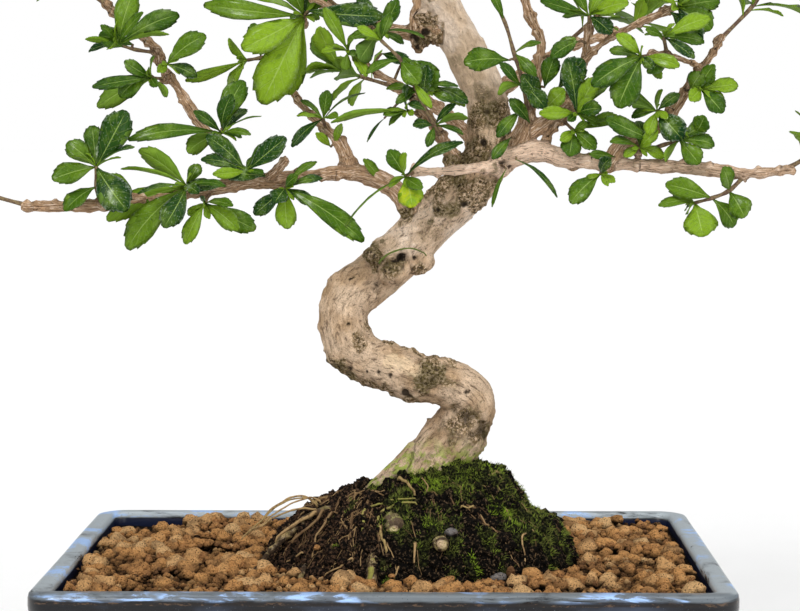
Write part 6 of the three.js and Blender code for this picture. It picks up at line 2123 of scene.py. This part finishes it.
    def _tuft(self, number: int) -> Shell:
        """A cushion of a few moss leaves, each a thin closed spike.

        Args:
            number: Which of the cushions it is.

        Returns:
            The shell.
        """
        draw = Draw(70 + number)
        shells = []
        for spike in range(7):
            turn, lean, tall = spike * 2.4 + draw(), 0.25 + 0.75 * draw(), 0.9 + 0.7 * draw()
            aim = np.array([math.cos(turn) * lean, math.sin(turn) * lean, 1.0])
            root = np.array([math.cos(turn), math.sin(turn), 0]) * 0.3 * draw() + [0, 0, -0.3]
            corners = [turn + step for step in (0, 2.1, 4.2)]
            base = [root + 0.16 * np.array([math.cos(corner), math.sin(corner), 0]) for corner in corners]
            faces = [(0, 2, 1), (0, 1, 3), (1, 2, 3), (2, 0, 3)]
            shells.append(Shell(np.array([*base, root + aim * tall]), faces))
        return Shell.joined(shells)

    def _listed_roots(self) -> Iterable[Shell]:
        """The roots that the photo shows, laid on the peat where they would sink into it.

        Returns:
            Each root's shell.
        """
        noise = Lattice(self.seed + 2)
        for full, tone, points in FINE_ROOTS:
            radius = self.slimmer * full
            shares = np.linspace(0, 1, 7 * len(points))
            line = Spline(points).at(shares)
            line += 0.5 * np.column_stack([noise.at(line / 4 + 9 * k) for k in range(3)])
            low = self.level(line[:, 0], line[:, 1]) + 0.5 * radius
            line[:, 2] = np.maximum(line[:, 2], low)
            line[0, 2] -= 2 * radius
            line[-1, 2] -= 2 * radius
            radii = radius * (1.1 - 0.45 * shares) * (1 + 0.15 * noise.at(line / 1.7))
            yield swept(line, radii, 7)[0].toned(tone)

    def _roots(self) -> Iterable[Shell]:
        """Fine roots that creep outwards and down over the peat on every side.

        Returns:
            Each root's shell.
        """
        draw = Draw(31)
        for _ in range(190):
            angle = math.tau * draw() if draw() < 0.5 else math.pi * (0.95 + 0.5 * draw())
            share, reach = 0.3 + 0.5 * draw(), 12 + 30 * draw()
            x = self.centre[0] + share * float(self.reach(np.array([angle]))[0]) * math.cos(angle)
            y = self.centre[1] + share * float(self.reach(np.array([angle]))[0]) * math.sin(angle)
            heading, points = angle + (draw() - 0.5) * 1.2, []
            for _ in range(int(reach / 2.2)):
                points.append((x, y))
                heading += (draw() - 0.5) * 0.9
                x, y = x + 2.2 * math.cos(heading), y + 2.2 * math.sin(heading)
            flat = np.array(points)
            flat = flat[self.share(flat[:, 0], flat[:, 1]) < 0.99]
            if len(flat) < 5:
                continue
            lift = 0.1 + 0.6 * np.abs(np.sin(np.arange(len(flat)) * 0.9 + angle * 5))
            line = np.column_stack([flat, self.level(flat[:, 0], flat[:, 1]) + lift])
            line[0, 2] -= 1.5
            line[-1, 2] -= 1.5
            thick = 0.16 + 0.36 * draw() ** 3
            root = swept(line, np.linspace(thick, thick * 0.5, len(line)), 5)[0]
            yield root.toned(0.1 + 0.5 * draw())


@dataclass(frozen=True)
class PeatFinish:
    """Black-brown damp peat, dark moss and tan roots."""

    peat: Colour = srgb(10, 8, 6)
    crumb: Colour = srgb(124, 102, 78)
    brown: Colour = srgb(92, 68, 52)
    green: Colour = srgb(58, 68, 26)
    moss_dark: Colour = srgb(34, 38, 18)
    moss_mid: Colour = srgb(106, 112, 54)
    moss_bright: Colour = srgb(142, 172, 48)
    root: Colour = srgb(172, 142, 98)
    root_dark: Colour = srgb(92, 66, 44)
    root_lime: Colour = srgb(142, 142, 66)
    grass: Colour = srgb(94, 108, 48)

    def material(self) -> Material:
        """Builds the peat, greener where moss starts on it and browner to the left.

        Returns:
            The material.
        """
        paint = Paint("peat", {"Specular IOR Level": 0.08})
        grit, lump = paint.noise(0.8, 5, 0.7), paint.noise(0.2, 4, 0.6)
        along = paint.parts(paint.place())[0]
        colour = paint.layers(
            self.peat,
            (grit.above(0.52, 0.68) * 0.95, self.crumb),
            (along.above(8, -30) * grit.above(0.46, 0.6) * 0.85, self.brown),
            (paint.value("moss").above(0.3, 0.8) * grit.above(0.45, 0.6) * 0.8, self.green),
            (lump.above(0.6, 0.8) * grit.above(0.5, 0.7) * 0.4, self.brown))
        return paint.finish(colour, 0.8 + 0.15 * grit, grit + lump, 1.4)

    def moss_material(self) -> Material:
        """Builds the moss from each tuft's own tone and its nearness to a bright spot.

        Returns:
            The material.
        """
        paint = Paint("moss", {"Specular IOR Level": 0.1})
        tone, bright, patch = paint.value("tone"), paint.value("bright"), paint.noise(0.14, 3, 0.5)
        colour = paint.layers(
            self.moss_dark,
            (tone.above(0.1, 0.8) + patch.above(0.5, 0.7) * 0.4, self.moss_mid),
            ((bright * 0.85 + tone.above(0.8, 1.0) * 0.4).math("MINIMUM", 1), self.moss_bright))
        return paint.finish(colour, 0.8 + 0.1 * patch, patch, 0.2)

    def root_material(self) -> Material:
        """Builds the skin of the fine roots from each root's own tone.

        Returns:
            The material.
        """
        paint = Paint("fine_root", {"Specular IOR Level": 0.25})
        tone, patch = paint.value("tone"), paint.noise(0.5, 4, 0.65)
        colour = paint.layers(
            self.root_dark,
            (tone.above(0.15, 0.6), self.root),
            (tone.above(0.7, 1.0) * 0.9, self.root_lime),
            (patch.above(0.5, 0.38) * 0.7, self.root_dark),
            (tone.above(1.1, 1.3), self.grass))
        return paint.finish(colour, 0.8 + 0.1 * patch, patch, 0.4)


@dataclass
class Soil:
    """The bed of clay granules round the mound."""

    finish: ClayFinish
    mound: Mound
    half_width: float = 130.4
    half_depth: float = 93.4
    corner: float = 6
    level: float = 74.2
    ground: float = 16.3
    step: float = 2.6

    def _sheet(self, level: float, swell: float, inset: float, seed: int, bare_below: float = -2) -> Shell:
        """A closed slab that fills the pot up to a level, with how open its top is to granules.

        Args:
            level: The height of its top.
            swell: How far the top rises and falls.
            inset: How far it stays off the pot's wall.
            seed: What its swell comes from.
            bare_below: Where its noise is below this it has no granules.

        Returns:
            The shell.
        """
        across, deep = self.half_width - inset, self.half_depth - inset
        side_steps = (int(2 * across / self.step), int(2 * deep / self.step))
        edge = rounded((across, deep), self.corner, 0, 3, side_steps)
        shares = np.linspace(1, 0.02, int(deep / self.step))[:, None, None]
        rings = np.concatenate([edge[None], edge[None] * shares])
        rings[0, :, 2] = self.ground
        noise = Lattice(seed)
        waves = noise.at(rings[1:].reshape(-1, 3) / 14, 2)
        rings[1:, :, 2] = level + swell * waves.reshape(rings.shape[0] - 1, -1)
        shell = stacked(rings, [[0, 0, self.ground], [0, 0, level]])
        x, y, height = shell.points.T
        outside = self.mound.share(x, y) > 0.985
        inside = (abs(x) < across - 1) & (abs(y) < deep - 1) & (height > level - 3)
        bare = np.hypot(x + 118, y - 84) < 22 + 6 * noise.at(shell.points / 9)
        full = noise.at(shell.points * [1, 1, 0] / 7 + 40) > bare_below
        grown = (outside & inside & full & ~bare).astype(float)
        shell.values = {"open": grown, "tone": np.full(len(x), 0.05)}
        return shell

    def build(self) -> list[Object]:
        """Builds and dresses the bed and its granules.

        Returns:
            The finished pieces.
        """
        material, slot = self.finish.material(), "fired_clay"
        # The bed between the granules comes out almost black: painted shade in the gaps.
        bed = self._sheet(self.level - 0.6, 0.8, 0, 21)
        pieces = [dress(bed, "soil_bed", material, slot, ["soil_granules"])]
        strewn = (
            (Scatter("granules_lower", pebbles(8, 2, 0.44, 200), 4.1, 1.3, 2.9, 4, skew=1.4),
             self._sheet(self.level + 0.2, 1.2, 2.6, 22)),
            (Scatter("granules_upper", pebbles(10, 2, 0.48, 300), 4.1, 0.9, 4.2, 5, skew=2.3),
             self._sheet(self.level + 2.6, 2.0, 3.6, 23, -0.35)),
            (Scatter("granule_grit", pebbles(6, 1, 0.4, 400), 2.3, 0.5, 1.7, 6, skew=1.6),
             self._sheet(self.level + 2.2, 1.6, 2.0, 24)))
        for scatter, sheet in strewn:
            pieces.append(hang(scatter.build(sheet, "open", material), slot))
        stones = [pebbles(1, 3, 0.22, 500 + number)[0].moved(size, centre).toned(tone)
                  for number, (centre, size, tone) in enumerate(STONES)]
        pieces.append(dress(Shell.joined(stones), "stones", material, slot))
        return pieces


@dataclass(frozen=True)
class ScreenFinish:
    """Black moulded mesh with a dusting of clay."""

    black: Colour = srgb(26, 26, 26)
    dust: Colour = srgb(92, 66, 46)

    def material(self) -> Material:
        """Builds the plastic.

        Returns:
            The material.
        """
        paint = Paint("screen_plastic", {"Specular IOR Level": 0.4})
        dust = paint.noise(0.4, 4, 0.6)
        colour = paint.mix(dust.above(0.5, 0.75) * 0.7, self.black, self.dust)
        return paint.finish(colour, 0.5 + 0.3 * dust, dust, 0.1)


@dataclass
class Studio:
    """A pale floor, soft lights and the camera of the photograph."""

    eye: Point = (19.4, -963.0, 255.0)
    tilt: float = 4.18
    pan: float = 0.83
    focal: float = 2265.0
    picture_width: float = 800.0
    sensor: float = 36.0
    surround: float = 0.28
    floor_reach: float = 60_000.0
    # Each light's name, where it comes from, how many degrees wide it is, and its power
    lights: tuple[tuple[str, Point, float, float], ...] = (
        ("key", (-0.6, -1.25, 1.15), 25, 1.65), ("top", (0.25, 0.2, 1.8), 50, 1.05),
        ("fill", (1.2, -1.0, 0.7), 60, 1.3))

    def build(self) -> None:
        """Places everything that isn't the object."""
        self._camera()
        self._floor()
        self._world()
        bpy.context.scene.view_settings.view_transform = "Standard"
        for light in self.lights:
            self._sun(*light)

    def _world(self) -> None:
        """Adds the white surround, which lights the tree less than it shows."""
        world = bpy.data.worlds.new("soft_white")
        world.use_nodes = True
        tree = world.node_tree
        seen = Wire(tree, add_node(tree, "ShaderNodeLightPath", {}, {}).outputs["Is Camera Ray"])
        strength = seen * (1 - self.surround) + self.surround
        connect(tree.nodes["Background"], {"Color": (1, 1, 1, 1), "Strength": strength})
        bpy.context.scene.world = world

    def _camera(self) -> None:
        """Adds the camera."""
        data = bpy.data.cameras.new("camera")
        data.sensor_width = self.sensor
        data.sensor_fit = "HORIZONTAL"
        data.lens = self.focal / self.picture_width * self.sensor
        data.clip_start, data.clip_end = 0.01, 50
        camera = bpy.data.objects.new("camera", data)
        camera.location = Vector(self.eye) * MM
        camera.rotation_euler = (math.radians(90 - self.tilt), 0, math.radians(self.pan))
        bpy.context.scene.collection.objects.link(camera)
        bpy.context.scene.camera = camera

    def _floor(self) -> None:
        """Adds the floor."""
        mesh = bpy.data.meshes.new("floor")
        reach = self.floor_reach * MM
        corners = [(x * reach, y * reach, 0) for x, y in ((-1, -1), (1, -1), (1, 1), (-1, 1))]
        mesh.from_pydata(corners, [], [(0, 1, 2, 3)])
        floor = place(mesh, "floor")
        paint = Paint("pale_floor", {"Specular IOR Level": 0.2})
        grain = paint.noise(0.02, 2, 0.5)
        colour = paint.mix(grain, srgb(248, 248, 248), srgb(252, 252, 252))
        mesh.materials.append(paint.finish(colour, 0.8, None, 0))

    @staticmethod
    def _sun(name: str, where: Point, spread: float, power: float) -> None:
        """Adds a soft far light from a direction.

        Args:
            name: The light's name.
            where: Where it comes from.
            spread: How many degrees wide it is.
            power: How strong it is.
        """
        data = bpy.data.lights.new(name, "SUN")
        data.angle, data.energy = math.radians(spread), power
        light = bpy.data.objects.new(name, data)
        light.location = where
        light.rotation_euler = (-Vector(where)).to_track_quat("-Z", "Y").to_euler()
        bpy.context.scene.collection.objects.link(light)


def main() -> None:
    """Builds the bonsai piece by piece, then the studio."""
    logging.basicConfig(level=logging.INFO, format="%(message)s")
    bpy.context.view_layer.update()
    mound = Mound(PeatFinish())
    Pot(GlazeFinish()).build()
    plastic = ScreenFinish().material()
    for side in ("left", "right"):
        screen = frame["nodes"][f"drain_screen_{side}"]
        screen.data.materials.clear()
        screen.data.materials.append(plastic)
        LOG.info("%s: dressed", screen.name)
    Soil(ClayFinish(), mound).build()
    mound.build()
    Wood(BarkFinish()).build()
    shoots = Foliage(LeafFinish(), LeafForm()).build()
    LOG.info("leafy shoots: %d", len(shoots))
    Studio().build()


if __name__ == "__main__":
    main()
